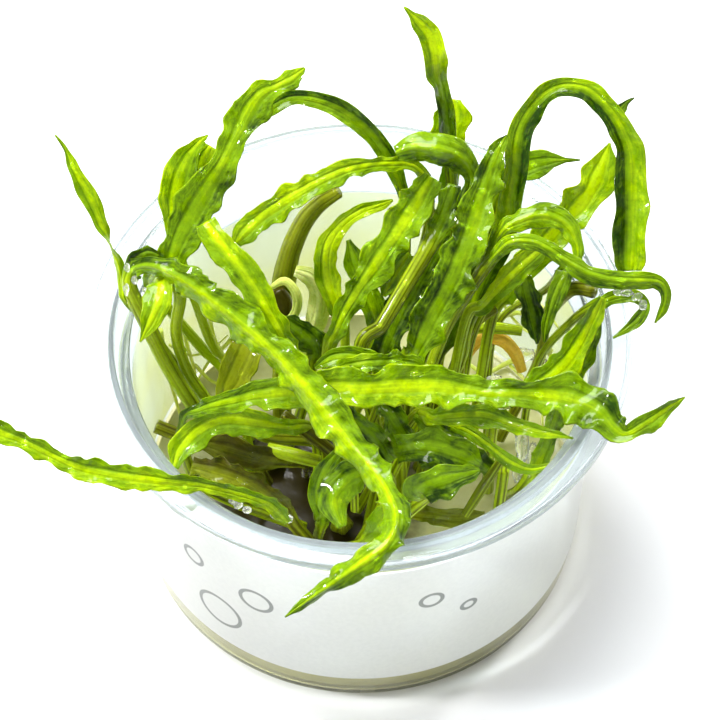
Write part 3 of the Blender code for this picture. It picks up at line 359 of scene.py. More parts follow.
# Small leaves and stalks past the CAD model's count
SMALL_LEAVES = [
    ("leaf_folded_lobe", None, "leaf_light", (0.6, 0.7, 0.5), (0.2, 5.0, 0.1),
     [],
     [(-33.4, 33, -4.6, 2.4), (-32.4, 37, -4.2, 4.4), (-31, 40.6, -3.6, 4.6), (-29.8, 42.8, -3.2, 2.6)]),
    ("leaf_knot_left", None, "leaf_deep", (0.2, 0.34, 0.3), (0.8, 2.6, 0.1),
     [],
     [(-46, 17, 2.6, 1.6), (-44.8, 20, 4.4, 3.2), (-42.4, 21.4, 5, 3.4), (-40, 20.8, 5, 1.4)]),
    ("leaf_arch_hook", None, "leaf_deep", (0.2, 0.3, 0.3), (0.3, 3.0, 0.1),
     [],
     [(50, 47.6, 4, 2), (52, 50, 4.4, 2.2), (53.4, 51.6, 4.4, 1), (54.8, 52.4, 4.4, 0.4)]),
    ("stalk_green_front", None, "leaf_green", (0.5, 0.5, 0.62), (0, 4, 0),
     [(-18.4, -17.8, -15, 2.8), (-13.4, -19, -14, 3), (-8, -20.4, -13, 2.8)],
     []),
    ("stalk_brown_front", None, "stalk_olive", (0.3, 0.3, 0.2), (0, 4, 0),
     [(-15.4, -11, -5, 2.4), (-10.4, -14.6, -7, 2.8), (-5.6, -18.4, -10, 2.6)],
     []),
    ("stalk_rise_front", None, "leaf_green", (0.5, 0.5, 0.1), (0, 4, 0),
     [(21, -31, -12, 1.8), (24.6, -25.4, -9, 2.2), (28.4, -19.6, -7, 1.6)],
     []),
    ("stalk_pair_front", None, "leaf_green", (0.5, 0.5, 0.3), (0, 4, 0),
     [(-4, -10, -4, 1.6), (-3, -16, -5, 1.8), (-1.4, -22.6, -8, 1.8), (-1, -30, -16, 1.8)],
     []),
    ("leaf_centre_lobe", None, "leaf_light", (0.62, 0.5, 0.3), (0.3, 4.0, 0.12),
     [],
     [(9.8, 21.4, -2.4, 2), (7.8, 18.8, -2, 5), (5.8, 15.4, -2.4, 4.4), (4.6, 12.8, -3, 1)]),
    ("leaf_low_inner", None, "leaf_deep", (0.06, 0.26, 0.3), (1.5, 3.0, 0.12),
     [],
     [(4, -8, -1, 3), (6.4, -11.4, 0, 5), (8.6, -15, -1, 5), (10, -18.6, -3, 2)]),
    ("leaf_low_left", None, "leaf_deep", (0.26, 0.04, 0.3), (1.4, 2.8, 0.12),
     [],
     [(-5, -9, -2, 2), (-1, -12.4, -1, 4.6), (3, -16, -2, 5.2), (6, -20.4, -5, 3)]),
    ("leaf_low_right", None, "leaf_deep", (0.2, 0.38, 0.3), (1.2, 3.0, 0.12),
     [],
     [(11, -11, -1, 2.4), (14.4, -13, -1, 4.4), (18.4, -15.4, -3, 4), (21.6, -18, -6, 1)]),
    ("leaf_wet_centre", None, "leaf_deep", (0.4, 0.22, 0.3), (1.3, 3.2, 0.12),
     [],
     [(-7, -2.6, 5.4, 2), (-1, -1.2, 6.4, 4), (5, -0.6, 6.8, 4.6), (10, -1, 7, 4), (14, -2.4, 6.6, 2)]),
    ("leaf_shaded_low", None, "leaf_deep", (0.1, 0.24, 0.3), (1.2, 3.2, 0.12),
     [],
     [(12, -21, -10, 2), (17, -19.4, -10, 4.6), (22.6, -20, -12, 5), (27, -22.6, -16, 3)]),
    ("stalk_brown_right", None, "stalk_olive", (0.3, 0.3, 0.35), (0, 4, 0),
     [(27, 10.4, -15, 2.2), (22.8, 7.4, -17, 2.6), (20.4, 3, -20, 2.6), (19.6, -4, -27, 2.6)],
     []),
    ("sheath_curl", None, "sheath_pale", (0.6, 0.6, 0.6), (0, 4, 0),
     [(-17.6, 14.6, -21, 1.2), (-15, 15.8, -20, 1.8), (-12.8, 13.4, -20.4, 2), (-12.6, 10.4, -22, 2),
      (-14.2, 8, -24, 1.8), (-17, 6.8, -26, 1.2)],
     []),
    # sheath_hollow: dark brown stalk pushed below the darkest tone, partly painted shade inside the sheath's
    # hollow
    ("sheath_hollow", None, "stalk_olive", (0, 0, -0.6), (0, 4, 0),
     [(-16.8, 14, -24, 3.4), (-15.6, 11.4, -25.4, 4.4), (-16, 8.4, -27.4, 3.6)],
     []),
]


# Larger drops and puddles, as (leaf, across, up, half length, half width)
PUDDLES = [    ("leaf_across", 28.4, -9.4, 1.9, 0.6), ("leaf_across", 21.6, -7.6, 1.7, 0.3),
    ("leaf_across", 43, -5.4, 1.3, 0.8), ("leaf_across", 36, -6.8, 1.0, 0.6),
    ("leaf_across", 40, -9.4, 1.1, 0.5), ("leaf_across", 11, -2.8, 1.4, 0.7),
    ("leaf_hanging", 5.6, -23.4, 0.6, 0.9), ("leaf_hanging", 1.4, -21, 0.5, 0.7),
    ("leaf_hanging", -26, 9.6, 0.7, 0.4), ("leaf_broad_centre", 6.4, 21.6, 1.0, 0.7),
    ("leaf_broad_centre", 1.6, 23, 0.5, 0.5), ("leaf_ribbed_centre", 21, 27, 0.6, 1.0),
    ("leaf_ribbed_centre", 14, 18, 0.5, 0.8), ("leaf_ribbed_centre", 24.6, 34, 0.5, 0.9),
    ("leaf_tall_left", -32, 38.4, 0.7, 0.6), ("leaf_tall_left", -23.6, 47.2, 0.5, 0.4),
    ("leaf_steep_left", -26, 17.8, 0.7, 0.5), ("leaf_steep_left", -25.4, 21.8, 0.8, 0.4),
    ("leaf_wet_across", -18, 31, 2.4, 0.6), ("leaf_wet_across", -22, 27, 1.2, 0.6),
    ("leaf_curled_front", -4.4, -24.6, 1.2, 0.9), ("leaf_broad_front", 12, -17, 1.2, 0.8),
    ("leaf_wet_centre", 1, -1.6, 1.3, 0.7), ("leaf_wet_centre", 8, -1, 1.5, 0.8),
    ("leaf_knot", 15, 42, 1.4, 0.5), ("leaf_brown_inner", -21, -19, 1.4, 0.8),
    ("leaf_wet_low", -24, -24, 1.3, 0.6), ("leaf_reaching_right", 52, 16, 1.0, 0.5),
]

# Roots, as (thickness, points beside the wall as (across, up)), how far from the cup's axis they run, and
# how near to and far from the eye that place is looked for
ROOT_RADIUS = 44.6
ROOT_NEAREST = -4.0
ROOT_FARTHEST = -90.0
ROOTS = [
    (0.9, [(-40, 6), (-39, 0), (-37.4, -6), (-36, -11)]),
    (0.7, [(-36, 9), (-34.6, 3), (-33, -3), (-33.4, -9)]),
    (0.6, [(-30, 8), (-29, 4), (-27, 0), (-27.6, -5), (-30, -10)]),
    (0.7, [(-24, 9), (-26, 4), (-30, 0), (-32.4, -4)]),
    (0.5, [(-38, 3), (-34, 1), (-30, 2), (-26.4, 5)]),
    (0.6, [(-33, -1), (-30, -4), (-27, -5), (-24, -4)]),
    (0.5, [(-28, 12), (-25.4, 8), (-24, 3), (-22.4, -2)]),
    (0.9, [(24, 12), (28, 9), (32, 9.4), (36, 7)]),
    (0.7, [(26, 14), (31, 12), (36, 11), (40, 6)]),
    (0.8, [(34, 10), (36, 5), (38.4, 0), (39, -6)]),
    (1.3, [(37.8, 2), (33, 0.6), (29, -0.8), (25, -3.2)]),
    (0.6, [(30, -1), (33, -4), (36, -8), (36.6, -14)]),
    (0.6, [(22, -1), (24, -3), (23, -7), (20, -10)]),
    (0.5, [(28, 14), (29.4, 10), (33, 6), (38, 4)]),
]

# The sleeve's rings, as (around, up, radius), around being measured at this radius
LABEL_ROUND = 46.5
LABEL_RINGS = ((-30, 21, 5.0), (-21, 33, 3.4), (-36, 36, 2.4), (14, 38, 2.2), (22, 31, 1.5))

# The lamps, as (name, kind, place and width in metres), and the point that they look at
LAMPS = (
    ("key", "key", (-0.22, 0.24, 0.76), 0.46),
    ("glint_right", "glint", (0.5, 0.45, 0.5), 0.12),
    ("glint_left", "glint", (-0.45, -0.05, 0.6), 0.08),
)
LAMP_AIM = (0.0, 0.0, 0.05)

# Painted shade on the gel under the plants, as (x, y, radius of its middle, radius of its edge) in metres
GEL_PAINTED_SHADE = (-0.011, -0.008, 0.018, 0.032)

# Bits of clear gel, as (across, up, toward, half width, half height)
GEL_BITS = [    (-24.4, -29, 0, 1.0, 0.8), (-22.6, -30, 1, 0.9, 0.7), (-25.6, -28.2, 0, 0.7, 0.6),
    (-16.4, -31, 2, 1.4, 0.9), (-14.4, -31.8, 4, 1.0, 0.8), (-17.6, -29.6, 1, 0.8, 0.6),
    (51.6, 13.6, 8.6, 0.9, 0.7), (53.4, 13.4, 9.4, 1.2, 0.7), (55.4, 12.6, 9.8, 1.0, 0.8),
    (56.6, 11, 9.6, 0.8, 1.0), (-46.6, 18.4, 5.6, 0.6, 0.9), (-45, 16, 5.6, 0.7, 0.8),
    (-43, 14, 6, 0.6, 0.6), (-46.8, 14, 5, 0.6, 1.2), (32.4, -16.6, -20, 1.4, 4.2),
    (34.6, -20, -22, 1.2, 3.6), (31.4, -22, -24, 1.0, 2.8), (33, 1, -40, 2.2, 1.6), (36, -1, -42, 1.6, 2.0),
    (27, -4, -44, 1.8, 1.2),
]


def seen(across, up, toward):
    """The point seen at (across, up) on the plane through the mouth, brought nearer by toward."""
    on_plane = AIM + across * RIGHT + up * UP
    return EYE + (on_plane - EYE) * (1.0 - toward / VIEW_DISTANCE)


def at_crown(name, place):
    """The foot of a leaf: one of the places in a ring around a crown, just above the gel."""
    x, y = CROWNS[name]
    angle = 2.0 * math.pi * place / BASES_PER_CROWN
    ring = BASE_RING + BASE_RING_STEP * (place % 2)
    return np.array([x + ring * math.cos(angle), y + ring * math.sin(angle), GEL_TOP + GAP + BASE_LIFT])


def beside_wall(across, up):
    """The place seen at (across, up) that lies just inside the cup's wall at the back, or on the gel."""
    for toward in np.arange(ROOT_NEAREST, ROOT_FARTHEST, -0.5):
        place = seen(across, up, toward)
        if math.hypot(place[0], place[1]) > ROOT_RADIUS or place[2] < GEL_TOP + 1.0:
            break
    return place


# Mesh helpers


def add_piece(name, points, faces, finish, nodes=()):
    """Makes a smooth piece from points in millimetres, and ties it to the frame."""
    if not len(faces):
        raise RuntimeError(f"{name} has no faces: its sizes leave nothing to build")
    mesh = bpy.data.meshes.new(name)
    mesh.from_pydata((np.asarray(points) * MM).tolist(), [], faces)
    mesh.validate()
    mesh.shade_smooth()
    mesh.materials.append(finish)
    made = bpy.data.objects.new(name, mesh)
    bpy.context.scene.collection.objects.link(made)
    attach(made, "root")
    if nodes:
        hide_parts(*nodes)
    return made


def keep_place(made, place, stalk):
    """Stores each point's (side, distance along, tone) and share of stalk, which the leaf materials read."""
    layer = made.data.attributes.new("leaf_place", "FLOAT_VECTOR", "POINT")
    layer.data.foreach_set("vector", np.asarray(place, dtype=np.float32).ravel())
    layer = made.data.attributes.new("leaf_stalk", "FLOAT", "POINT")
    layer.data.foreach_set("value", np.asarray(stalk, dtype=np.float32).ravel())


def turned(name, profile, segments, finish, nodes=(), wobble=None):
    """A solid turned around Z from a closed list of (radius, height) points, those at radius 0 shared."""
    profile = np.array(profile)
    angles = np.linspace(0.0, 2.0 * math.pi, segments, endpoint=False)
    points, index = [], []
    for radius, height in profile:
        if radius < 1e-6:
            index.append(np.full(segments, len(points)))
            points.append((0.0, 0.0, height))
        else:
            index.append(len(points) + np.arange(segments))
            for angle in angles:
                extra = wobble(radius, height, angle) if wobble else 0.0
                points.append((radius * math.cos(angle), radius * math.sin(angle), height + extra))
    faces = []
    for here, there in zip(index, index[1:] + index[:1]):
        for step in range(segments):
            after = (step + 1) % segments
            corners = [int(here[step]), int(here[after]), int(there[after]), int(there[step])]
            unique = list(dict.fromkeys(corners))
            if len(unique) > 2:
                faces.append(unique)
    return add_piece(name, points, faces, finish, nodes)


def smooth_route(points, values, step):
    """Samples a Catmull-Rom curve through points about every step, with values eased along it."""
    points = [np.asarray(point, dtype=float) for point in points]
    places, carried = [], []
    last = len(points) - 1
    for i in range(last):
        before, start = points[max(i - 1, 0)], points[i]
        stop, after = points[i + 1], points[min(i + 2, last)]
        pieces = max(1, round(float(np.linalg.norm(stop - start)) / step))
        for t in np.arange(pieces) / pieces:
            places.append(0.5 * (2.0 * start + (stop - before) * t
                                 + (2.0 * before - 5.0 * start + 4.0 * stop - after) * t * t
                                 + (3.0 * start - before - 3.0 * stop + after) * t * t * t))
            ease = t * t * (3.0 - 2.0 * t)
            carried.append(np.array(values[i]) + (np.array(values[i + 1]) - np.array(values[i])) * ease)
    places.append(points[last])
    carried.append(np.array(values[last]))
    return np.array(places), np.array(carried)


def unit(vectors):
    """The vectors at length 1."""
    return vectors / np.maximum(np.linalg.norm(vectors, axis=-1, keepdims=True), 1e-9)


def frames_along(places, turns):
    """Along, side and face directions at each place, the face looking at the eye and turned from there."""
    along = unit(np.gradient(places, axis=0))
    face = TOWARD - (along @ TOWARD)[:, None] * along
    for _ in range(FRAME_SMOOTHING):
        face[1:-1] = 0.25 * face[:-2] + 0.5 * face[1:-1] + 0.25 * face[2:]
    face = unit(face - np.sum(face * along, axis=1, keepdims=True) * along)
    side = np.cross(along, face)
    angle = np.radians(turns)[:, None]
    face = face * np.cos(angle) + side * np.sin(angle)
    return along, np.cross(along, face), face


def tube_faces(rings, around):
    """Quads between rings of points, and a closing face at each end."""
    ring = np.arange(around)
    here = (np.arange(rings - 1) * around)[:, None] + ring
    after = (np.arange(rings - 1) * around)[:, None] + np.roll(ring, -1)
    quads = np.stack([here, after, after + around, here + around], axis=-1).reshape(-1, 4)
    ends = [ring[::-1].tolist(), ((rings - 1) * around + ring).tolist()]
    return quads.tolist() + ends


def drift(distance, length, seed):
    """A smooth irregular wave between about -1 and 1."""
    turn = 2.0 * math.pi * distance / length
    slow = 0.55 * np.sin(turn + seed)
    return slow + 0.3 * np.sin(1.73 * turn + 2.1 * seed) + 0.15 * np.sin(2.9 * turn + seed * seed)


def margin_waves(s, distance, wave, seed):
    """Phases of a margin's broad and fine waves, and how strong each is, separately for the two sides."""
    sides = []
    for hand in (0.0, 2.4):
        wander = 2.4 * drift(distance, 5.3 * wave, seed + hand)
        broad = 2.0 * math.pi * distance / (BROAD_LENGTH * wave) + wander + seed + hand
        wander = 3.0 * drift(distance, 2.9 * wave, 3.0 * seed + hand)
        fine = 2.0 * math.pi * distance / (FINE_LENGTH * wave) + wander
        swell = np.clip(0.5 + 0.9 * drift(distance, 4.1 * wave, 2.0 * seed + hand), 0.1, 1.3)
        crinkle = np.clip(-0.1 + 1.3 * drift(distance, 3.3 * wave, 5.0 * seed + hand), 0.0, 1.0)
        sides.append((broad, fine, swell, crinkle))
    return [np.where(s < 0.0, left[:, None], right[:, None]) for left, right in zip(*sides)]


# Each built leaf's upper face and the way it looks, which the drops lie on
SURFACES = {}


def build_leaf(row, seed, finish, shape):
    """A leaf or a stalk: a closed thin sheet along its route, with a midrib and ruffled margins."""
    name, foot, slot, tones, (ruffle, wave, fold), stalk, blade = row
    points, values = [], []
    start_width = (stalk or blade)[0][3]
    if foot:
        points.append(at_crown(*foot))
        values.append((start_width, 0.0, 0.0, 0.0))
    for share, group in ((0.0, stalk), (1.0, blade)):
        for station in group:
            width, turn, shade = (*station[3:], 0.0, 0.0)[:3]
            points.append(seen(*station[:3]))
            values.append((width, share, turn, shade))
    places, carried = smooth_route(points, values, LEAF_STEP)
    width, share, turns, shade = carried.T
    distance = np.concatenate([[0.0], np.cumsum(np.linalg.norm(np.diff(places, axis=0), axis=1))])
    turns = turns + shape.twist * share * drift(distance, TWIST_LENGTH, seed + 3.0)
    _, side, face = frames_along(places, turns)

    s = np.linspace(-1.0, 1.0, COLUMNS + 1)
    out = np.abs(s)
    half = 0.5 * width[:, None]
    blade_part = share[:, None]
    strength = shape.ruffle * ruffle * np.minimum(1.0, width / 4.0)[:, None] * blade_part
    broad, fine, swell, crinkle = margin_waves(s, distance, wave, seed)
    lift = strength * swell * out ** 2.0 * np.sin(broad)
    lift += FINE_HEIGHT * strength * crinkle * out ** 3.0 * np.sin(fine)
    lobes = LOBE_SIZE * drift(distance[:, None] + 40.0 * (s > 0), LOBE_LENGTH * wave, seed + 9.0)
    lobes = lobes + LOBE_PER_WAVE * swell * np.sin(broad + 1.2) + LOBE_PER_CRINKLE * crinkle * np.cos(fine)
    across = half * s * (1.0 + min(1.0, 0.3 + ruffle) * blade_part * out * lobes)
    across += OVERHANG * strength * np.sign(s) * out ** 3.0 * np.cos(broad)
    bend = fold * (1.0 + FOLD_CHANGE * drift(distance, FOLD_LENGTH, seed + 4.0))
    height = (bend * width)[:, None] * out ** 1.4 * blade_part + lift
    wander = 2.0 * drift(distance[:, None], 9.0, seed)
    pucker = np.sin(2.0 * math.pi * distance[:, None] / PUCKER_LENGTH + 4.0 * s + wander)
    height += PUCKER_HEIGHT * strength * out * (1.0 - out) * pucker
    dents = drift(distance[:, None] + 3.0 * s, DENT_LENGTH, seed + 5.0)
    height += DENT_HEIGHT * blade_part * dents * (1.0 - out)
    rib = shape.rib * np.exp(-((s / RIB_WIDTH) ** 2)) * np.minimum(1.0, half / 2.0)
    sheet = shape.thickness * (1.0 - THINNER_EDGE * out ** 2) + rib
    top = height + 0.5 * sheet
    under = height - 0.5 * sheet
    bow = np.sin(0.5 * math.pi * s)
    swelled = half * STALK_ROUNDNESS * np.sqrt(np.maximum(0.0, 1.0 - bow ** 2))
    across = blade_part * across + (1.0 - blade_part) * half * bow
    top = blade_part * top + (1.0 - blade_part) * swelled
    under = blade_part * under - (1.0 - blade_part) * swelled

    upper = places[:, None] + across[..., None] * side[:, None] + top[..., None] * face[:, None]
    lower = places[:, None] + across[..., None] * side[:, None] + under[..., None] * face[:, None]
    # The two sides' tones and the stations' shade paint light and shade into the colour, over the leaf's own
    # green
    mixed = 0.5 + 0.5 * np.tanh(TONE_STEEPNESS * s)
    tone = tones[0] + (tones[1] - tones[0]) * mixed + shade[:, None]
    tone = blade_part * tone + (1.0 - blade_part) * tones[2]
    spread = [np.broadcast_to(s, tone.shape), np.broadcast_to(distance[:, None], tone.shape), tone]
    place = np.stack(spread, axis=-1)
    ring = np.concatenate([upper, lower[:, -2:0:-1]], axis=1)
    kept = np.concatenate([place, place[:, -2:0:-1]], axis=1)
    around = ring.shape[1]
    nodes = (name,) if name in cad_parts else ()
    made = add_piece(name + "_fine", ring.reshape(-1, 3), tube_faces(len(ring), around), finish, nodes)
    keep_place(made, kept.reshape(-1, 3), np.repeat(1.0 - share, around))
    SURFACES[name] = (upper, face)
    return made


def thread(points, radius, sides=6, step=0.8):
    """Rings of a thin round tube through the points, as (points, faces)."""
    places, _ = smooth_route(points, [(0.0,)] * len(points), step)
    _, side, face = frames_along(places, np.zeros(len(places)))
    share = np.linspace(0.0, 1.0, len(places))[:, None, None]
    angles = np.linspace(0.0, 2.0 * math.pi, sides, endpoint=False)
    around = np.cos(angles)[None, :, None] * side[:, None] + np.sin(angles)[None, :, None] * face[:, None]
    ring = places[:, None] + radius * (1.0 - 0.6 * share ** 2) * around
    return ring.reshape(-1, 3), tube_faces(len(ring), sides)


def joined(parts):
    """Several (points, faces) as one."""
    points, faces, start = [], [], 0
    for some, corners in parts:
        points.append(np.asarray(some))
        faces += [[corner + start for corner in face] for face in corners]
        start += len(some)
    return np.concatenate(points), faces


def ball(rings, sides):
    """A unit ball with poles on Z, as (points, faces)."""
    points = [(0.0, 0.0, 1.0)]
    for ring in range(1, rings):
        tilt = math.pi * ring / rings
        out, height = math.sin(tilt), math.cos(tilt)
        for step in range(sides):
            angle = 2.0 * math.pi * step / sides
            points.append((out * math.cos(angle), out * math.sin(angle), height))
    points.append((0.0, 0.0, -1.0))
    faces = []
    for step in range(sides):
        after = (step + 1) % sides
        faces.append([0, 1 + step, 1 + after])
        for ring in range(rings - 2):
            base = 1 + ring * sides
            faces.append([base + step, base + sides + step, base + sides + after, base + after])
        base = 1 + (rings - 2) * sides
        faces.append([base + after, base + step, len(points) - 1])
    return np.array(points), faces


# Materials


def new_group(name, inputs, outputs):
    """An empty shader node group with sockets given as (name, kind, default)."""
    group = bpy.data.node_groups.new(name, "ShaderNodeTree")
    for label, kind, default in inputs:
        socket = group.interface.new_socket(label, in_out="INPUT", socket_type=kind)
        socket.default_value = default
    for label, kind in outputs:
        group.interface.new_socket(label, in_out="OUTPUT", socket_type=kind)
    return group, group.nodes.new("NodeGroupInput"), group.nodes.new("NodeGroupOutput")


class Wires:
    """Short calls for making and joining shader nodes in one tree."""

    def __init__(self, tree):
        self.tree = tree

    def put(self, socket, value):
        """Links the value to the socket when it is a socket too, or else sets it."""
        if isinstance(value, bpy.types.NodeSocket):
            self.tree.links.new(value, socket)
        else:
            socket.default_value = value

    def math(self, operation, first, second=0.0):
        """One sum on one or two numbers."""
        node = self.tree.nodes.new("ShaderNodeMath")
        node.operation = operation
        self.put(node.inputs[0], first)
        self.put(node.inputs[1], second)
        return node.outputs[0]

    def span(self, value, low, high, to_low=0.0, to_high=1.0):
        """Maps low..high to to_low..to_high smoothly, clamped."""
        node = self.tree.nodes.new("ShaderNodeMapRange")
        node.interpolation_type = "SMOOTHSTEP"
        self.put(node.inputs["Value"], value)
        for label, number in (("From Min", low), ("From Max", high), ("To Min", to_low), ("To Max", to_high)):
            self.put(node.inputs[label], number)
        return node.outputs["Result"]

    def mix(self, factor, first, second, kind="MIX"):
        """Blends two colours. Sockets 6, 7 and 2 are the node's colour ones."""
        node = self.tree.nodes.new("ShaderNodeMix")
        node.data_type = "RGBA"
        node.blend_type = kind
        self.put(node.inputs["Factor"], factor)
        self.put(node.inputs[6], first)
        self.put(node.inputs[7], second)
        return node.outputs[2]

    def parts(self, vector):
        """A vector's three parts."""
        node = self.tree.nodes.new("ShaderNodeSeparateXYZ")
        self.put(node.inputs[0], vector)
        return node.outputs

    def join(self, x, y, z):
        """A vector from its three parts."""
        node = self.tree.nodes.new("ShaderNodeCombineXYZ")
        for socket, value in zip(node.inputs, (x, y, z)):
            self.put(socket, value)
        return node.outputs[0]

    def speckle(self, vector, scale, detail=2.0, roughness=0.5):
        """Noise between 0 and 1."""
        node = self.tree.nodes.new("ShaderNodeTexNoise")
        self.put(node.inputs["Vector"], vector)
        self.put(node.inputs["Scale"], scale)
        self.put(node.inputs["Detail"], detail)
        self.put(node.inputs["Roughness"], roughness)
        return node.outputs["Fac"]

    def attribute(self, name):
        """A vector stored on the mesh's points."""
        node = self.tree.nodes.new("ShaderNodeAttribute")
        node.attribute_name = name
        return node.outputs["Vector"]

    def object_place(self):
        """The place on the piece, in metres."""
        return self.tree.nodes.new("ShaderNodeTexCoord").outputs["Object"]

    def sum(self, *values):
        """Adds up any number of values."""
        total = values[0]
        for value in values[1:]:
            total = self.math("ADD", total, value)
        return total

    def times(self, first, second):
        """The product of two numbers."""
        return self.math("MULTIPLY", first, second)

    def about(self, value, middle):
        """How far the value is from the middle, with its sign."""
        return self.math("SUBTRACT", value, middle)

    def away(self, first, second):
        """The length of a flat vector."""
        return self.math("SQRT", self.math("ADD", self.times(first, first), self.times(second, second)))

    def bump(self, height, distance, strength):
        """A normal that makes the surface look raised by the height, times a distance in metres."""
        node = self.tree.nodes.new("ShaderNodeBump")
        node.inputs["Strength"].default_value = strength
        node.inputs["Distance"].default_value = distance
        self.put(node.inputs["Height"], height)
        return node.outputs["Normal"]


def tissue_group():
    """The shared group for leaf tissue, with veins, quilting, a pale rib, pale margins and wet patches."""
    found = bpy.data.node_groups.get("Leaf tissue")
    if found:
        return found
    colour = "NodeSocketColor"
    number = "NodeSocketFloat"
    group, given, result = new_group(
        "Leaf tissue",
        [("Deep", colour, (0.03, 0.1, 0.01, 1)), ("Middle", colour, (0.15, 0.4, 0.02, 1)),
         ("Light", colour, (0.5, 0.7, 0.05, 1)), ("Stalk dark", colour, (0.05, 0.04, 0.01, 1)),
         ("Stalk light", colour, (0.4, 0.4, 0.04, 1)), ("Rib", number, 0.5), ("Vein contrast", number, 0.3),
         ("Mottle", number, 0.3), ("Wetness", number, 0.5)],
        [("Colour", colour), ("Roughness", number), ("Wet", number), ("Height", number)],
    )
    w = Wires(group)
    get = given.outputs
    side, distance, tone = w.parts(w.attribute("leaf_place"))
    place = w.object_place()
    out = w.math("ABSOLUTE", side)

    # Fine veins run along the blade, and quilting slants away from the midrib
    fine = w.speckle(w.join(w.times(side, 9.0), w.times(distance, 0.055), 0.0), 1.0, 3.0)
    slant = w.math("ADD", distance, w.times(out, -3.0))
    quilt = w.speckle(w.join(w.times(side, 2.6), w.times(slant, 0.42), 4.0), 1.0, 3.0, 0.6)
    patch = w.speckle(place, 95.0, 2.0)
    mottle = w.speckle(place, 420.0, 3.0, 0.6)
    dapple = w.speckle(place, 1500.0, 2.0)
    beside = w.span(out, 0.28, 0.5)
    rib = w.span(out, 0.44, 0.10)
    margin = w.span(out, 0.93, 1.0)

    # The tone moves up and down a ramp from deep through middle to light green
    shift = w.sum(
        w.times(w.about(fine, 0.5), get["Vein contrast"]),
        w.times(w.about(mottle, 0.5), get["Mottle"]),
        w.times(w.times(w.about(quilt, 0.5), w.times(beside, 1.5)), get["Mottle"]),
        w.times(w.about(patch, 0.5), w.times(get["Mottle"], 1.3)),
        w.times(rib, w.times(get["Rib"], 0.5)),
        w.times(margin, 0.16),
    )
    level = w.math("ADD", tone, shift)
    low = w.mix(w.span(level, 0.0, 0.5), get["Deep"], get["Middle"])
    tint = w.mix(w.span(level, 0.45, 1.0), low, get["Light"])

    # Stalks are streaked lengthwise
    streak = w.speckle(w.join(w.times(side, 4.0), w.times(distance, 0.02), 9.0), 1.0, 2.0)
    lit = w.math("ADD", w.times(w.about(streak, 0.5), 2.0), w.times(w.about(patch, 0.5), 0.8))
    lit = w.span(w.math("ADD", lit, w.math("ADD", tone, 0.15)), 0.0, 1.0)
    stem = w.mix(lit, get["Stalk dark"], get["Stalk light"])
    tint = w.mix(w.parts(w.attribute("leaf_stalk"))[0], tint, stem)
    shaded = w.mix(w.span(dapple, 0.45, 0.8, 0.0, 0.22), tint, get["Deep"], "MULTIPLY")
    w.put(result.inputs["Colour"], shaded)

    # Water lies in patches, and quilting and veins stand up from the blade
    puddle = w.speckle(w.join(w.times(side, 1.6), w.times(distance, 0.3), 7.0), 1.0, 3.0, 0.55)
    wet = w.span(w.math("ADD", puddle, w.times(get["Wetness"], 0.14)), 0.52, 0.60)
    w.put(result.inputs["Wet"], w.times(wet, get["Wetness"]))
    w.put(result.inputs["Roughness"], w.span(mottle, 0.3, 0.7, 0.48, 0.34))
    quilted = w.times(w.times(quilt, beside), 1.3)
    raised = w.sum(w.times(fine, 0.25), w.times(dapple, 0.06), quilted, w.times(rib, 0.5))
    w.put(result.inputs["Height"], raised)
    return group


def principled(name):
    """A material's tree with its Principled shader: (material, wires, shader)."""
    made = bpy.data.materials.new(name)
    made.use_nodes = True
    return made, Wires(made.node_tree), made.node_tree.nodes["Principled BSDF"]


def opaque(colour):
    """The colour with full alpha."""
    return (*colour, 1.0)


def scatter(shader, weight, radius, scale):
    """Lets light pass into the material, the scale in metres."""
    shader.inputs["Subsurface Weight"].default_value = weight
    shader.inputs["Subsurface Radius"].default_value = radius
    shader.inputs["Subsurface Scale"].default_value = scale


def with_group(wires, group, values):
    """Adds a shared group with its inputs set, and gives its outputs."""
    node = wires.tree.nodes.new("ShaderNodeGroup")
    node.node_tree = group
    for label, value in values.items():
        wires.put(node.inputs[label], value)
    return node.outputs


def leaf_material(name, colours, stem, rib, veins, mottle, wetness, glow):
    """Wet leaf tissue with a little light passing through it."""
    found = bpy.data.materials.get(name)
    if found:
        return found
    made, w, shader = principled(name)
    deep, middle, light = [opaque(colour) for colour in colours]
    stalk_dark, stalk_light = [opaque(colour) for colour in stem]
    tissue = with_group(w, tissue_group(), {
        "Deep": deep, "Middle": middle, "Light": light, "Stalk dark": stalk_dark, "Stalk light": stalk_light,
        "Rib": rib, "Vein contrast": veins, "Mottle": mottle, "Wetness": wetness,
    })
    w.put(shader.inputs["Base Color"], tissue["Colour"])
    w.put(shader.inputs["Roughness"], tissue["Roughness"])
    w.put(shader.inputs["Coat Weight"], tissue["Wet"])
    w.put(shader.inputs["Normal"], w.bump(tissue["Height"], 0.0006, 0.6))
    scatter(shader, glow, (0.6, 1.0, 0.08), 0.0016)
    shader.inputs["Specular IOR Level"].default_value = 0.06
    shader.inputs["Coat Roughness"].default_value = 0.06
    shader.inputs["Coat IOR"].default_value = 1.33
    return made


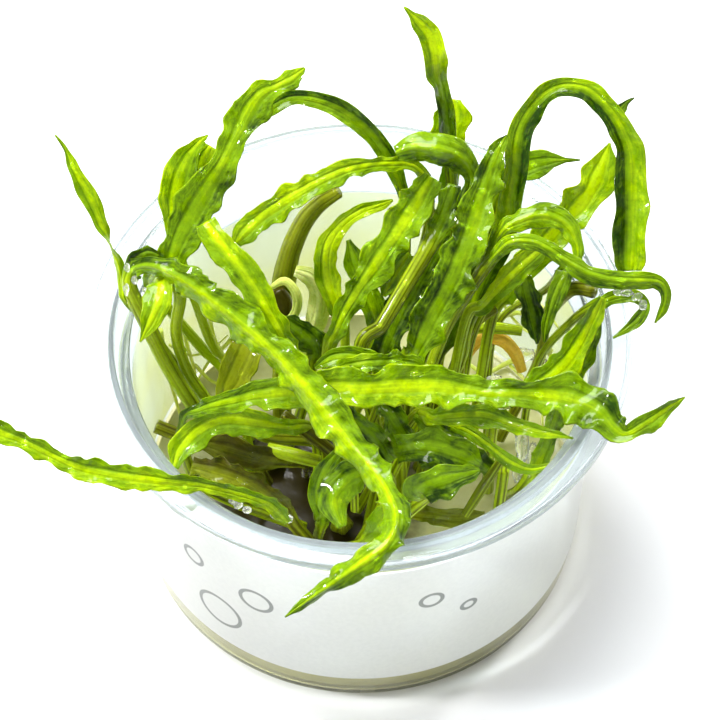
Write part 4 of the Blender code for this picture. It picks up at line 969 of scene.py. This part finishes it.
def finish_for(slot):
    """The leaf, stalk or sheath material of a slot."""
    tint = bpy.context.scene.plant_colours
    leaf = (tint.deep, tint.middle, tint.light)
    olive = (tint.olive_dark, tint.olive, tint.olive_light)
    amber = ((0.20, 0.07, 0.01), tint.amber, (0.80, 0.52, 0.10))
    pale = (tint.olive, tint.pale, (0.86, 0.92, 0.36))
    stem = ((0.09, 0.11, 0.002), (0.46, 0.62, 0.008))
    olive_stem = (tint.olive_dark, tint.olive_light)
    amber_stem = ((0.70, 0.30, 0.01), (1.0, 0.62, 0.08))
    pale_stem = ((0.36, 0.44, 0.03), (0.80, 0.90, 0.20))
    # Name, colours, stem's colours, rib, veins, mottle, wetness and glow
    settings = {
        "leaf_green": ("Leaf green", leaf, stem, 0.42, 0.40, 0.50, 0.9, 0.10),
        "leaf_light": ("Leaf light", leaf, stem, 0.60, 0.36, 0.46, 0.9, 0.12),
        "leaf_deep": ("Leaf deep", leaf, stem, 0.34, 0.40, 0.60, 1.0, 0.06),
        "stalk_olive": ("Stalk olive", olive, olive_stem, 0.30, 0.60, 0.40, 0.8, 0.12),
        "stalk_amber": ("Stalk amber", amber, amber_stem, 0.20, 0.50, 0.40, 0.8, 0.25),
        "sheath_pale": ("Sheath pale", pale, pale_stem, 0.20, 0.60, 0.40, 0.7, 0.25),
    }
    return leaf_material(*settings[slot])


def clear_material(name, colour, roughness, ior, clear=1.0):
    """Clear stuff that lets lamps' light through to what is behind it."""
    made, w, shader = principled(name)
    shader.inputs["Base Color"].default_value = opaque(colour)
    shader.inputs["Roughness"].default_value = roughness
    shader.inputs["IOR"].default_value = ior
    shader.inputs["Transmission Weight"].default_value = clear
    nodes = made.node_tree.nodes
    path = nodes.new("ShaderNodeLightPath")
    through = nodes.new("ShaderNodeBsdfTransparent")
    through.inputs["Color"].default_value = opaque(0.5 + 0.5 * part for part in colour)
    mixer = nodes.new("ShaderNodeMixShader")
    w.put(mixer.inputs[0], path.outputs["Is Shadow Ray"])
    w.put(mixer.inputs[1], shader.outputs[0])
    w.put(mixer.inputs[2], through.outputs[0])
    w.put(nodes["Material Output"].inputs["Surface"], mixer.outputs[0])
    return made, w, shader


def label_material(colours):
    """Glossy white paper, drawn grey as painted shade, with plain rings like rising bubbles."""
    made, w, shader = principled("Label paper")
    place = w.object_place()
    x, y, z = w.parts(place)
    around = w.times(w.math("ARCTAN2", x, w.times(y, -1.0)), LABEL_ROUND)
    high = w.times(z, 1.0 / MM)
    ink = 0.0
    for middle, level, size in LABEL_RINGS:
        away = w.away(w.about(around, middle), w.about(high, level))
        ring = w.span(w.math("ABSOLUTE", w.about(away, size)), 0.55, 0.35)
        ink = w.math("MAXIMUM", ring, ink)
    grain = w.speckle(place, 900.0, 4.0, 0.6)
    # The paper's grey, here and in its colour setting, is painted shade on white paper
    paper = w.mix(w.span(grain, 0.3, 0.7), opaque(colours.label), (0.585, 0.592, 0.598, 1.0))
    printed = w.mix(w.times(ink, 0.85), paper, (0.05, 0.06, 0.06, 1.0))
    w.put(shader.inputs["Base Color"], printed)
    w.put(shader.inputs["Roughness"], w.span(grain, 0.2, 0.8, 0.36, 0.28))
    w.put(shader.inputs["Normal"], w.bump(grain, 0.00004, 0.3))
    shader.inputs["Coat Weight"].default_value = 0.15
    scatter(shader, 0.7, (1.0, 1.0, 1.0), 0.003)
    return made


def label_back_material():
    """The sleeve's cream back, lightly scattering, with a painted glow for light from outside the cup shining
    through.
    """
    made, w, shader = principled("Label back")
    cloud = w.speckle(w.object_place(), 40.0, 3.0)
    cream = w.mix(w.span(cloud, 0.3, 0.7), (1.0, 1.0, 0.66, 1.0), (1.0, 0.95, 0.34, 1.0))
    w.put(shader.inputs["Base Color"], cream)
    # The cream emission is a painted glow, for light from outside the cup shining through the paper
    w.put(shader.inputs["Emission Color"], cream)
    shader.inputs["Emission Strength"].default_value = 0.72
    shader.inputs["Roughness"].default_value = 0.5
    scatter(shader, 0.7, (1.0, 1.0, 1.0), 0.003)
    return made


def gel_material(tint):
    """Cloudy gel, pale towards the wall, with painted shade under the plants."""
    made, w, shader = principled("Growing gel")
    place = w.object_place()
    cloud = w.speckle(place, 90.0, 4.0, 0.6)
    x, y = w.parts(place)[:2]
    # The dark patch under the plants is painted shade, where the leaves shade the gel
    away = w.away(w.math("ADD", x, -GEL_PAINTED_SHADE[0]), w.math("ADD", y, -GEL_PAINTED_SHADE[1]))
    away = w.math("ADD", away, w.times(w.about(cloud, 0.5), 0.03))
    swirl = w.mix(w.span(cloud, 0.3, 0.7), opaque(tint), (0.60, 0.58, 0.26, 1.0))
    painted_shade = w.mix(w.span(away, GEL_PAINTED_SHADE[2], GEL_PAINTED_SHADE[3]), (0.035, 0.026, 0.006, 1.0), swirl)
    w.put(shader.inputs["Base Color"], painted_shade)
    w.put(shader.inputs["Roughness"], w.span(cloud, 0.3, 0.7, 0.12, 0.22))
    w.put(shader.inputs["Normal"], w.bump(cloud, 0.0006, 0.4))
    shader.inputs["IOR"].default_value = 1.36
    scatter(shader, 0.3, (1.0, 1.0, 0.5), 0.002)
    return made


def root_material():
    """Pale yellow-green roots."""
    made, w, shader = principled("Roots")
    cloud = w.speckle(w.object_place(), 260.0, 3.0)
    tint = w.mix(w.span(cloud, 0.3, 0.7), (0.86, 0.94, 0.24, 1.0), (0.70, 0.82, 0.10, 1.0))
    w.put(shader.inputs["Base Color"], tint)
    shader.inputs["Roughness"].default_value = 0.35
    scatter(shader, 0.4, (1.0, 1.0, 0.4), 0.001)
    return made


def floor_material(colour):
    """A plain pale floor, barely clouded."""
    made, w, shader = principled("Studio floor")
    grain = w.speckle(w.object_place(), 30.0, 3.0)
    darker = opaque(0.985 * part for part in colour)
    w.put(shader.inputs["Base Color"], w.mix(w.span(grain, 0.2, 0.8), opaque(colour), darker))
    shader.inputs["Roughness"].default_value = 0.7
    return made


# Settings that a user would change


def length(name, default, description, low=0.0, high=200.0):
    """A property in millimetres."""
    return bpy.props.FloatProperty(name=name, description=description, default=default, min=low, max=high)


def colour(name, default, description):
    """A property that holds a colour."""
    return bpy.props.FloatVectorProperty(
        name=name, description=description, default=default, size=3, min=0.0, max=1.0, subtype="COLOR"
    )


class PlantCup(bpy.types.PropertyGroup):
    """Sizes of the cup"""

    mouth_radius: length("Mouth radius", 49.2, "Inner radius of the cup's mouth, in millimetres")
    wall_top_radius: length(
        "Wall radius at the top", 47.4, "Outer radius of the wall below the seat, in millimetres"
    )
    wall_foot_radius: length(
        "Wall radius at the foot", 47.2, "Outer radius of the wall at the foot, in millimetres"
    )
    wall: length("Wall thickness", 1.1, "Thickness of the plastic, in millimetres", 0.3, 4.0)
    seat_depth: length("Seat depth", 4.6, "How far the lid's seat lies below the flange, in millimetres")
    skirt_drop: length("Skirt drop", 2.6, "How far the flange's skirt turns down, in millimetres")


class PlantLeaves(bpy.types.PropertyGroup):
    """Shape of the leaves, and what lies on them"""

    ruffle: bpy.props.FloatProperty(
        name="Ruffle", description="Scales the waves of all the leaves' margins", default=1.0, min=0.0,
        max=3.0, subtype="FACTOR",
    )
    thickness: length(
        "Blade thickness", 0.40, "Thickness of a blade beside its midrib, in millimetres", 0.1, 2.0
    )
    rib: length("Midrib", 0.26, "How much thicker the midrib is, in millimetres", 0.0, 2.0)
    twist: bpy.props.FloatProperty(
        name="Twist", description="How many degrees the blades turn to and fro", default=13.0, min=0.0,
        max=60.0,
    )
    seed: bpy.props.IntProperty(name="Seed", description="Changes the waves and the drops", default=3, min=0)
    drops: bpy.props.IntProperty(
        name="Drops", description="How many water drops lie on the leaves", default=420, min=0
    )


class PlantColours(bpy.types.PropertyGroup):
    """Colours of the plants, the cup and the floor"""

    deep: colour("Deep green", (0.014, 0.040, 0.0), "Shaded and folded leaf tissue")
    middle: colour("Leaf green", (0.180, 0.325, 0.0), "Most of the leaf tissue")
    light: colour("Light green", (0.520, 0.720, 0.0), "Young and thin leaf tissue")
    olive_dark: colour("Dark olive", (0.055, 0.048, 0.002), "Shaded stalks")
    olive: colour("Olive", (0.120, 0.140, 0.004), "Stalks")
    olive_light: colour("Light olive", (0.300, 0.350, 0.008), "Lit streaks of the stalks")
    amber: colour("Amber", (0.800, 0.420, 0.020), "The amber stalk")
    pale: colour("Sheath", (0.560, 0.680, 0.100), "The pale sheath")
    gel: colour("Gel", (0.760, 0.750, 0.420), "The growing gel in the cup")
    plastic: colour("Plastic", (0.670, 0.730, 0.750), "The clear cup")
    # The label's grey is painted shade on white paper
    label: colour("Label", (0.620, 0.626, 0.630), "The sleeve's paper")
    floor: colour("Floor", (0.900, 0.905, 0.910), "The studio floor")


class PlantStage(bpy.types.PropertyGroup):
    """Floor and lights"""

    floor_size: bpy.props.FloatProperty(
        name="Floor size", description="Width of the floor", default=3.0, min=0.5, max=20.0, unit="LENGTH"
    )
    world: bpy.props.FloatProperty(
        name="Sky light", description="Strength of the even light from all sides", default=0.36, min=0.0,
        max=5.0,
    )
    key: bpy.props.FloatProperty(
        name="Key light", description="Power of the large soft light", default=8.8, min=0.0, max=200.0,
        unit="POWER",
    )
    glint: bpy.props.FloatProperty(
        name="Glint light", description="Power of each small light that makes wet glints", default=3.0,
        min=0.0, max=100.0, unit="POWER",
    )


# Pieces


def arc(radius, centre, start, stop, steps):
    """Points of an arc in the profile plane, angles in degrees."""
    angles = np.radians(np.linspace(start, stop, steps + 1))
    return [(centre[0] + radius * math.cos(angle), centre[1] + radius * math.sin(angle)) for angle in angles]


def cup_profile(cup):
    """The cup's outline as (radius, height) points: up the outside, over the flange and down the inside."""
    wall = cup.wall
    mouth = cup.mouth_radius
    top = cup.wall_top_radius
    foot = cup.wall_foot_radius
    seat = CUP_TOP - cup.seat_depth
    skirt = CUP_TOP - cup.skirt_drop
    bend = CUP_TOP - wall - FLANGE_BEND
    outer = [(0.0, 0.0)]
    outer += arc(FOOT_ROUND, (foot - FOOT_ROUND, FOOT_ROUND), -90.0, 0.0, 6)
    outer += [(top, seat - wall), (mouth + wall - 0.3, seat + wall - 0.5), (mouth + wall, seat + wall)]
    outer += arc(FLANGE_BEND, (mouth + wall + FLANGE_BEND, bend), 180.0, 90.0, 4)
    outer += arc(FLANGE_BEND, (FLANGE_RADIUS - wall - FLANGE_BEND, bend), 90.0, 0.0, 4)
    outer += [(FLANGE_RADIUS - wall, skirt + 0.2)]
    outer += arc(0.5 * wall - 0.05, (FLANGE_RADIUS - 0.5 * wall, skirt + 0.5 * wall), 200.0, 360.0, 6)
    outer += arc(FLANGE_ROUND, (FLANGE_RADIUS - FLANGE_ROUND, CUP_TOP - FLANGE_ROUND), 0.0, 90.0, 5)
    inner = arc(MOUTH_ROUND, (mouth + MOUTH_ROUND, CUP_TOP - MOUTH_ROUND), 90.0, 180.0, 5)
    inner += [(mouth, seat + wall), (mouth - 0.4, seat + wall - 0.7)]
    inner += [(top - wall + 0.5, seat - wall + 0.5), (top - wall, seat - wall)]
    inner += [(foot - wall, wall + INNER_ROUND)]
    inner += arc(INNER_ROUND, (foot - wall - INNER_ROUND, wall + INNER_ROUND), 0.0, -90.0, 4)[1:]
    inner += [(0.0, wall)]
    return outer + inner


def wall_radius(cup, height):
    """The wall's outer radius at a height."""
    share = height / (CUP_TOP - cup.seat_depth)
    return cup.wall_foot_radius + (cup.wall_top_radius - cup.wall_foot_radius) * share


def build_group(context, rows, offset):
    """Builds a table's leaves. The offset keeps the seeds of different tables apart."""
    shape = context.scene.plant_leaves
    for index, row in enumerate(rows):
        build_leaf(row, 1.7 * (index + offset) + shape.seed, finish_for(row[2]), shape)


class PLANT_OT_cup(bpy.types.Operator):
    """Turn the clear cup with its seat, flange and skirt"""

    bl_idname = "plant.cup"
    bl_label = "Cup"

    def execute(self, context):
        profile = cup_profile(context.scene.plant_cup)
        plastic = context.scene.plant_colours.plastic
        finish, w, shader = clear_material("Clear plastic", plastic, 0.06, 1.40, 0.85)
        place = w.object_place()
        haze = w.speckle(place, 160.0, 3.0, 0.5)
        # The plastic takes the gel's tint as far up as the gel reaches
        above_gel = w.span(w.parts(place)[2], MM * (GEL_TOP - 0.6), MM * (GEL_TOP - 0.2))
        w.put(shader.inputs["Base Color"], w.mix(above_gel, (0.78, 0.76, 0.44, 1.0), opaque(plastic)))
        w.put(shader.inputs["Roughness"], w.span(haze, 0.35, 0.8, 0.03, 0.10))
        w.put(shader.inputs["Normal"], w.bump(haze, 0.00004, 0.15))
        turned("cup_fine", profile, CUP_TURNED, finish, ("cup",))
        return {"FINISHED"}


class PLANT_OT_sleeve(bpy.types.Operator):
    """Wrap the paper sleeve around the cup's wall"""

    bl_idname = "plant.sleeve"
    bl_label = "Sleeve label"

    def execute(self, context):
        cup = context.scene.plant_cup
        low = wall_radius(cup, SLEEVE_LOW) + GAP
        high = wall_radius(cup, SLEEVE_HIGH) + GAP
        profile = [(low, SLEEVE_LOW), (low + LABEL_THICKNESS, SLEEVE_LOW)]
        profile += [(high + LABEL_THICKNESS, SLEEVE_HIGH), (high, SLEEVE_HIGH)]
        finish = label_material(context.scene.plant_colours)
        made = turned("sleeve_label_fine", profile, CUP_TURNED, finish, ("sleeve_label",))
        made.data.materials.append(label_back_material())
        # The faces that look at the cup's axis are the sleeve's back
        for face in made.data.polygons:
            if face.normal.x * face.center.x + face.normal.y * face.center.y < 0.0:
                face.material_index = 1
        made.data.set_sharp_from_angle(angle=math.radians(40.0))
        return {"FINISHED"}


class PLANT_OT_gel(bpy.types.Operator):
    """Pour the growing gel in the bottom of the cup"""

    bl_idname = "plant.gel"
    bl_label = "Gel"

    def execute(self, context):
        cup = context.scene.plant_cup
        radius = cup.wall_foot_radius - cup.wall - 2.0 * GAP
        floor = cup.wall + GAP
        profile = [(0.0, floor), (radius - 1.0, floor), (radius, floor + 1.0), (radius, GEL_TOP - 0.7)]
        profile += [(radius, GEL_TOP - 0.2), (radius - 0.6, GEL_TOP - 0.5), (radius - 2.0, GEL_TOP - 0.8)]
        profile += [(part * radius, GEL_TOP - GEL_SUNK) for part in (0.86, 0.74, 0.62, 0.5, 0.38, 0.26, 0.14)]
        profile += [(0.0, GEL_TOP - GEL_SUNK)]

        def lumps(r, height, angle):
            """How far a point of the sunken top is raised."""
            if height < GEL_TOP - GEL_SUNK - 0.05 or r > radius - 1.5:
                return 0.0
            return 0.4 * noise.noise(Vector((0.3 * r * math.cos(angle), 0.3 * r * math.sin(angle), 1.0)))

        finish = gel_material(context.scene.plant_colours.gel)
        turned("gel_fine", profile, GEL_TURNED, finish, ("gel",), lumps)
        return {"FINISHED"}


class PLANT_OT_crowns(bpy.types.Operator):
    """Model the crowns that the leaves grow from"""

    bl_idname = "plant.crowns"
    bl_label = "Crowns"

    def execute(self, context):
        foot = GEL_TOP + GAP
        points, faces = ball(12, 20)
        for number, (name, (x, y)) in enumerate(CROWNS.items()):
            shaped = points.copy()
            rise = 0.5 + 0.5 * points[:, 2]
            angle = np.arctan2(points[:, 1], points[:, 0])
            lobed = 0.9 + 0.1 * np.sin(5.0 * angle + number)
            spread = CROWN_RADIUS * (1.0 - CROWN_TAPER * rise ** 2) * lobed
            shaped[:, 0] = x + points[:, 0] * spread
            shaped[:, 1] = y + points[:, 1] * spread
            shaped[:, 2] = foot + CROWN_HEIGHT * rise
            node = "crown_" + name
            made = add_piece(node + "_fine", shaped, faces, finish_for("stalk_olive"), (node,))
            place = np.stack([np.sin(4.0 * angle), 4.0 * rise, 0.3 + 0.3 * rise], axis=-1)
            keep_place(made, place, np.ones(len(rise)))
        return {"FINISHED"}


class PLANT_OT_front_leaves(bpy.types.Operator):
    """Model the long leaves that lie across the mouth and over the rim"""

    bl_idname = "plant.front_leaves"
    bl_label = "Front leaves"

    def execute(self, context):
        build_group(context, FRONT_LEAVES, 0)
        return {"FINISHED"}


class PLANT_OT_left_leaves(bpy.types.Operator):
    """Model the leaves and stalks at the left of the cup"""

    bl_idname = "plant.left_leaves"
    bl_label = "Left leaves"

    def execute(self, context):
        build_group(context, LEFT_LEAVES, 10)
        return {"FINISHED"}


class PLANT_OT_middle_leaves(bpy.types.Operator):
    """Model the leaves in the middle and at the back"""

    bl_idname = "plant.middle_leaves"
    bl_label = "Middle leaves"

    def execute(self, context):
        build_group(context, MIDDLE_LEAVES, 20)
        return {"FINISHED"}


class PLANT_OT_right_leaves(bpy.types.Operator):
    """Model the leaves and stalks at the right of the cup"""

    bl_idname = "plant.right_leaves"
    bl_label = "Right leaves"

    def execute(self, context):
        build_group(context, RIGHT_LEAVES, 40)
        return {"FINISHED"}


class PLANT_OT_low_leaves(bpy.types.Operator):
    """Model the leaves low in the front of the cup"""

    bl_idname = "plant.low_leaves"
    bl_label = "Low leaves"

    def execute(self, context):
        build_group(context, LOW_LEAVES, 60)
        return {"FINISHED"}


class PLANT_OT_small_leaves(bpy.types.Operator):
    """Model small lobes and stalks between the leaves"""

    bl_idname = "plant.small_leaves"
    bl_label = "Small leaves"

    def execute(self, context):
        build_group(context, SMALL_LEAVES, 80)
        return {"FINISHED"}


class PLANT_OT_roots(bpy.types.Operator):
    """Grow thin pale roots down the inside of the wall"""

    bl_idname = "plant.roots"
    bl_label = "Roots"

    def execute(self, context):
        routes = [(thick, [beside_wall(*spot) for spot in route]) for thick, route in ROOTS]
        points, faces = joined([thread(places, 0.75 * thick) for thick, places in routes])
        add_piece("roots", points, faces, root_material())
        return {"FINISHED"}


class PLANT_OT_gel_bits(bpy.types.Operator):
    """Drop bits of clear gel on the leaves and on the gel"""

    bl_idname = "plant.gel_bits"
    bl_label = "Gel bits"

    def execute(self, context):
        unit_ball, faces = ball(10, 16)
        chance = np.random.default_rng(context.scene.plant_leaves.seed)
        parts = []
        for across, up, toward, wide, tall in GEL_BITS:
            lumps = 1.0 + 0.16 * np.sin(3.1 * unit_ball @ chance.normal(size=3) * 2.0 + chance.random() * 6.0)
            shaped = unit_ball * lumps[:, None]
            points = seen(across, up, toward) + shaped[:, :1] * wide * RIGHT + shaped[:, 1:2] * tall * UP
            points = points + shaped[:, 2:] * 0.7 * min(wide, tall) * TOWARD
            parts.append((points, faces))
        finish, w, shader = clear_material("Clear gel", (0.97, 0.98, 0.94), 0.1, 1.34, 0.92)
        cloud = w.speckle(w.object_place(), 500.0, 3.0)
        w.put(shader.inputs["Roughness"], w.span(cloud, 0.3, 0.7, 0.05, 0.3))
        w.put(shader.inputs["Normal"], w.bump(cloud, 0.0004, 0.5))
        points, corners = joined(parts)
        add_piece("gel_bits", points, corners, finish)
        return {"FINISHED"}


def scattered_drops(shape, chance):
    """Small drops anywhere on the leaves, as (leaf, row, column, half length, half width)."""
    names = sorted(name for name in SURFACES if name.startswith("leaf"))
    areas = np.array([SURFACES[name][0].shape[0] for name in names], dtype=float)
    spots = []
    for name in chance.choice(names, size=shape.drops, p=areas / areas.sum()):
        rows, columns = SURFACES[name][0].shape[:2]
        wide = 0.18 + 0.5 * chance.random() ** 3
        long = wide * (1.0 + 0.5 * chance.random())
        row = int(chance.integers(rows // 3, rows - 3))
        column = int(chance.integers(3, columns - 3))
        spots.append((name, row, column, long, wide))
    return spots


def placed_puddles():
    """The table's puddles, each at the point of its leaf that is seen nearest to its place."""
    spots = []
    for name, across, up, long, wide in PUDDLES:
        upper = SURFACES[name][0]
        nearness = (EYE - upper) @ TOWARD
        shown = (upper - EYE) * (VIEW_DISTANCE / nearness)[..., None]
        away = (shown @ RIGHT - across) ** 2 + (shown @ UP - up) ** 2
        row, column = np.unravel_index(np.argmin(away[1:-1, 1:-1]), away[1:-1, 1:-1].shape)
        spots.append((name, row + 1, column + 1, long, wide))
    return spots


def drop_on(unit_ball, name, row, column, long, wide):
    """A flattened drop that follows the leaf under it."""
    upper, face = SURFACES[name]
    middle = upper[row, column]
    along = unit(upper[row + 1, column] - upper[row - 1, column])
    normal = unit(np.cross(along, upper[row, column + 1] - upper[row, column - 1]))
    normal = normal if normal @ face[row] > 0 else -normal
    second = np.cross(normal, along)
    ripple = 1.0 + 0.18 * np.sin(5.0 * unit_ball[:, :1] + row) * np.cos(4.0 * unit_ball[:, 1:2] + column)
    shaped = unit_ball * ripple
    points = middle + 0.12 * wide * normal
    points = points + shaped[:, :1] * long * along + shaped[:, 1:2] * wide * second
    return points + shaped[:, 2:] * 0.5 * min(wide, 0.6) * normal


class PLANT_OT_water(bpy.types.Operator):
    """Scatter water drops over the leaves' upper faces"""

    bl_idname = "plant.water"
    bl_label = "Water drops"

    def execute(self, context):
        if not SURFACES:
            raise RuntimeError("the leaves have to be built before the drops")
        shape = context.scene.plant_leaves
        spots = scattered_drops(shape, np.random.default_rng(shape.seed)) + placed_puddles()
        unit_ball, faces = ball(7, 14)
        points, corners = joined([(drop_on(unit_ball, *spot), faces) for spot in spots])
        finish = clear_material("Water", (0.98, 1.0, 0.98), 0.0, 1.33)[0]
        add_piece("water_drops", points, corners, finish)
        return {"FINISHED"}


class PLANT_OT_stage(bpy.types.Operator):
    """Set the floor, the lights and the camera"""

    bl_idname = "plant.stage"
    bl_label = "Stage"

    def execute(self, context):
        scene = context.scene
        stage = scene.plant_stage
        half = 0.5 * stage.floor_size
        corners = [(-half, -half, 0), (half, -half, 0), (half, half, 0), (-half, half, 0)]
        mesh = bpy.data.meshes.new("floor")
        mesh.from_pydata(corners, [], [(0, 1, 2, 3)])
        mesh.materials.append(floor_material(scene.plant_colours.floor))
        floor = bpy.data.objects.new("floor", mesh)
        scene.collection.objects.link(floor)

        scene.world = bpy.data.worlds.new("Studio")
        scene.world.use_nodes = True
        sky = scene.world.node_tree.nodes["Background"]
        sky.inputs["Color"].default_value = (1.0, 1.0, 1.0, 1.0)
        sky.inputs["Strength"].default_value = stage.world
        scene.view_settings.view_transform = "Standard"

        power = {"key": stage.key, "glint": stage.glint}
        for name, kind, spot, size in LAMPS:
            data = bpy.data.lights.new(name, "AREA")
            data.size = size
            data.energy = power[kind]
            lamp = bpy.data.objects.new(name, data)
            lamp.location = spot
            lamp.rotation_euler = (Vector(spot) - Vector(LAMP_AIM)).to_track_quat("Z", "Y").to_euler()
            scene.collection.objects.link(lamp)

        data = bpy.data.cameras.new("camera")
        data.lens = LENS
        data.sensor_width = SENSOR
        data.clip_start = 0.01
        camera = bpy.data.objects.new("camera", data)
        turn = Matrix([RIGHT, UP, TOWARD]).transposed().to_4x4()
        turn.translation = Vector(EYE * MM)
        camera.matrix_world = turn
        scene.collection.objects.link(camera)
        scene.camera = camera
        return {"FINISHED"}


PIECE_OPERATORS = (
    PLANT_OT_cup,
    PLANT_OT_sleeve,
    PLANT_OT_gel,
    PLANT_OT_crowns,
    PLANT_OT_front_leaves,
    PLANT_OT_left_leaves,
    PLANT_OT_middle_leaves,
    PLANT_OT_right_leaves,
    PLANT_OT_low_leaves,
    PLANT_OT_small_leaves,
    PLANT_OT_roots,
    PLANT_OT_gel_bits,
    PLANT_OT_water,
    PLANT_OT_stage,
)
GROUPS = {
    "plant_cup": PlantCup,
    "plant_leaves": PlantLeaves,
    "plant_colours": PlantColours,
    "plant_stage": PlantStage,
}


class VIEW3D_PT_plant(bpy.types.Panel):
    """Lists the plant's sizes, colours and pieces"""

    bl_label = "Aquarium plant"
    bl_space_type = "VIEW_3D"
    bl_region_type = "UI"
    bl_category = "Plant"

    def draw(self, context):
        for label in GROUPS:
            group = getattr(context.scene, label)
            box = self.layout.box()
            for setting in group.bl_rna.properties:
                if setting.identifier not in {"rna_type", "name"}:
                    box.prop(group, setting.identifier)
        for kind in PIECE_OPERATORS:
            self.layout.operator(kind.bl_idname)


def register():
    for kind in (*GROUPS.values(), *PIECE_OPERATORS, VIEW3D_PT_plant):
        bpy.utils.register_class(kind)
    for label, kind in GROUPS.items():
        setattr(bpy.types.Scene, label, bpy.props.PointerProperty(type=kind))


def unregister():
    for label in GROUPS:
        delattr(bpy.types.Scene, label)
    for kind in reversed((*GROUPS.values(), *PIECE_OPERATORS, VIEW3D_PT_plant)):
        bpy.utils.unregister_class(kind)


def main():
    """Builds every piece and the stage."""
    register()
    for kind in PIECE_OPERATORS:
        family, name = kind.bl_idname.split(".")
        getattr(getattr(bpy.ops, family), name)()


if __name__ == "__main__":
    main()
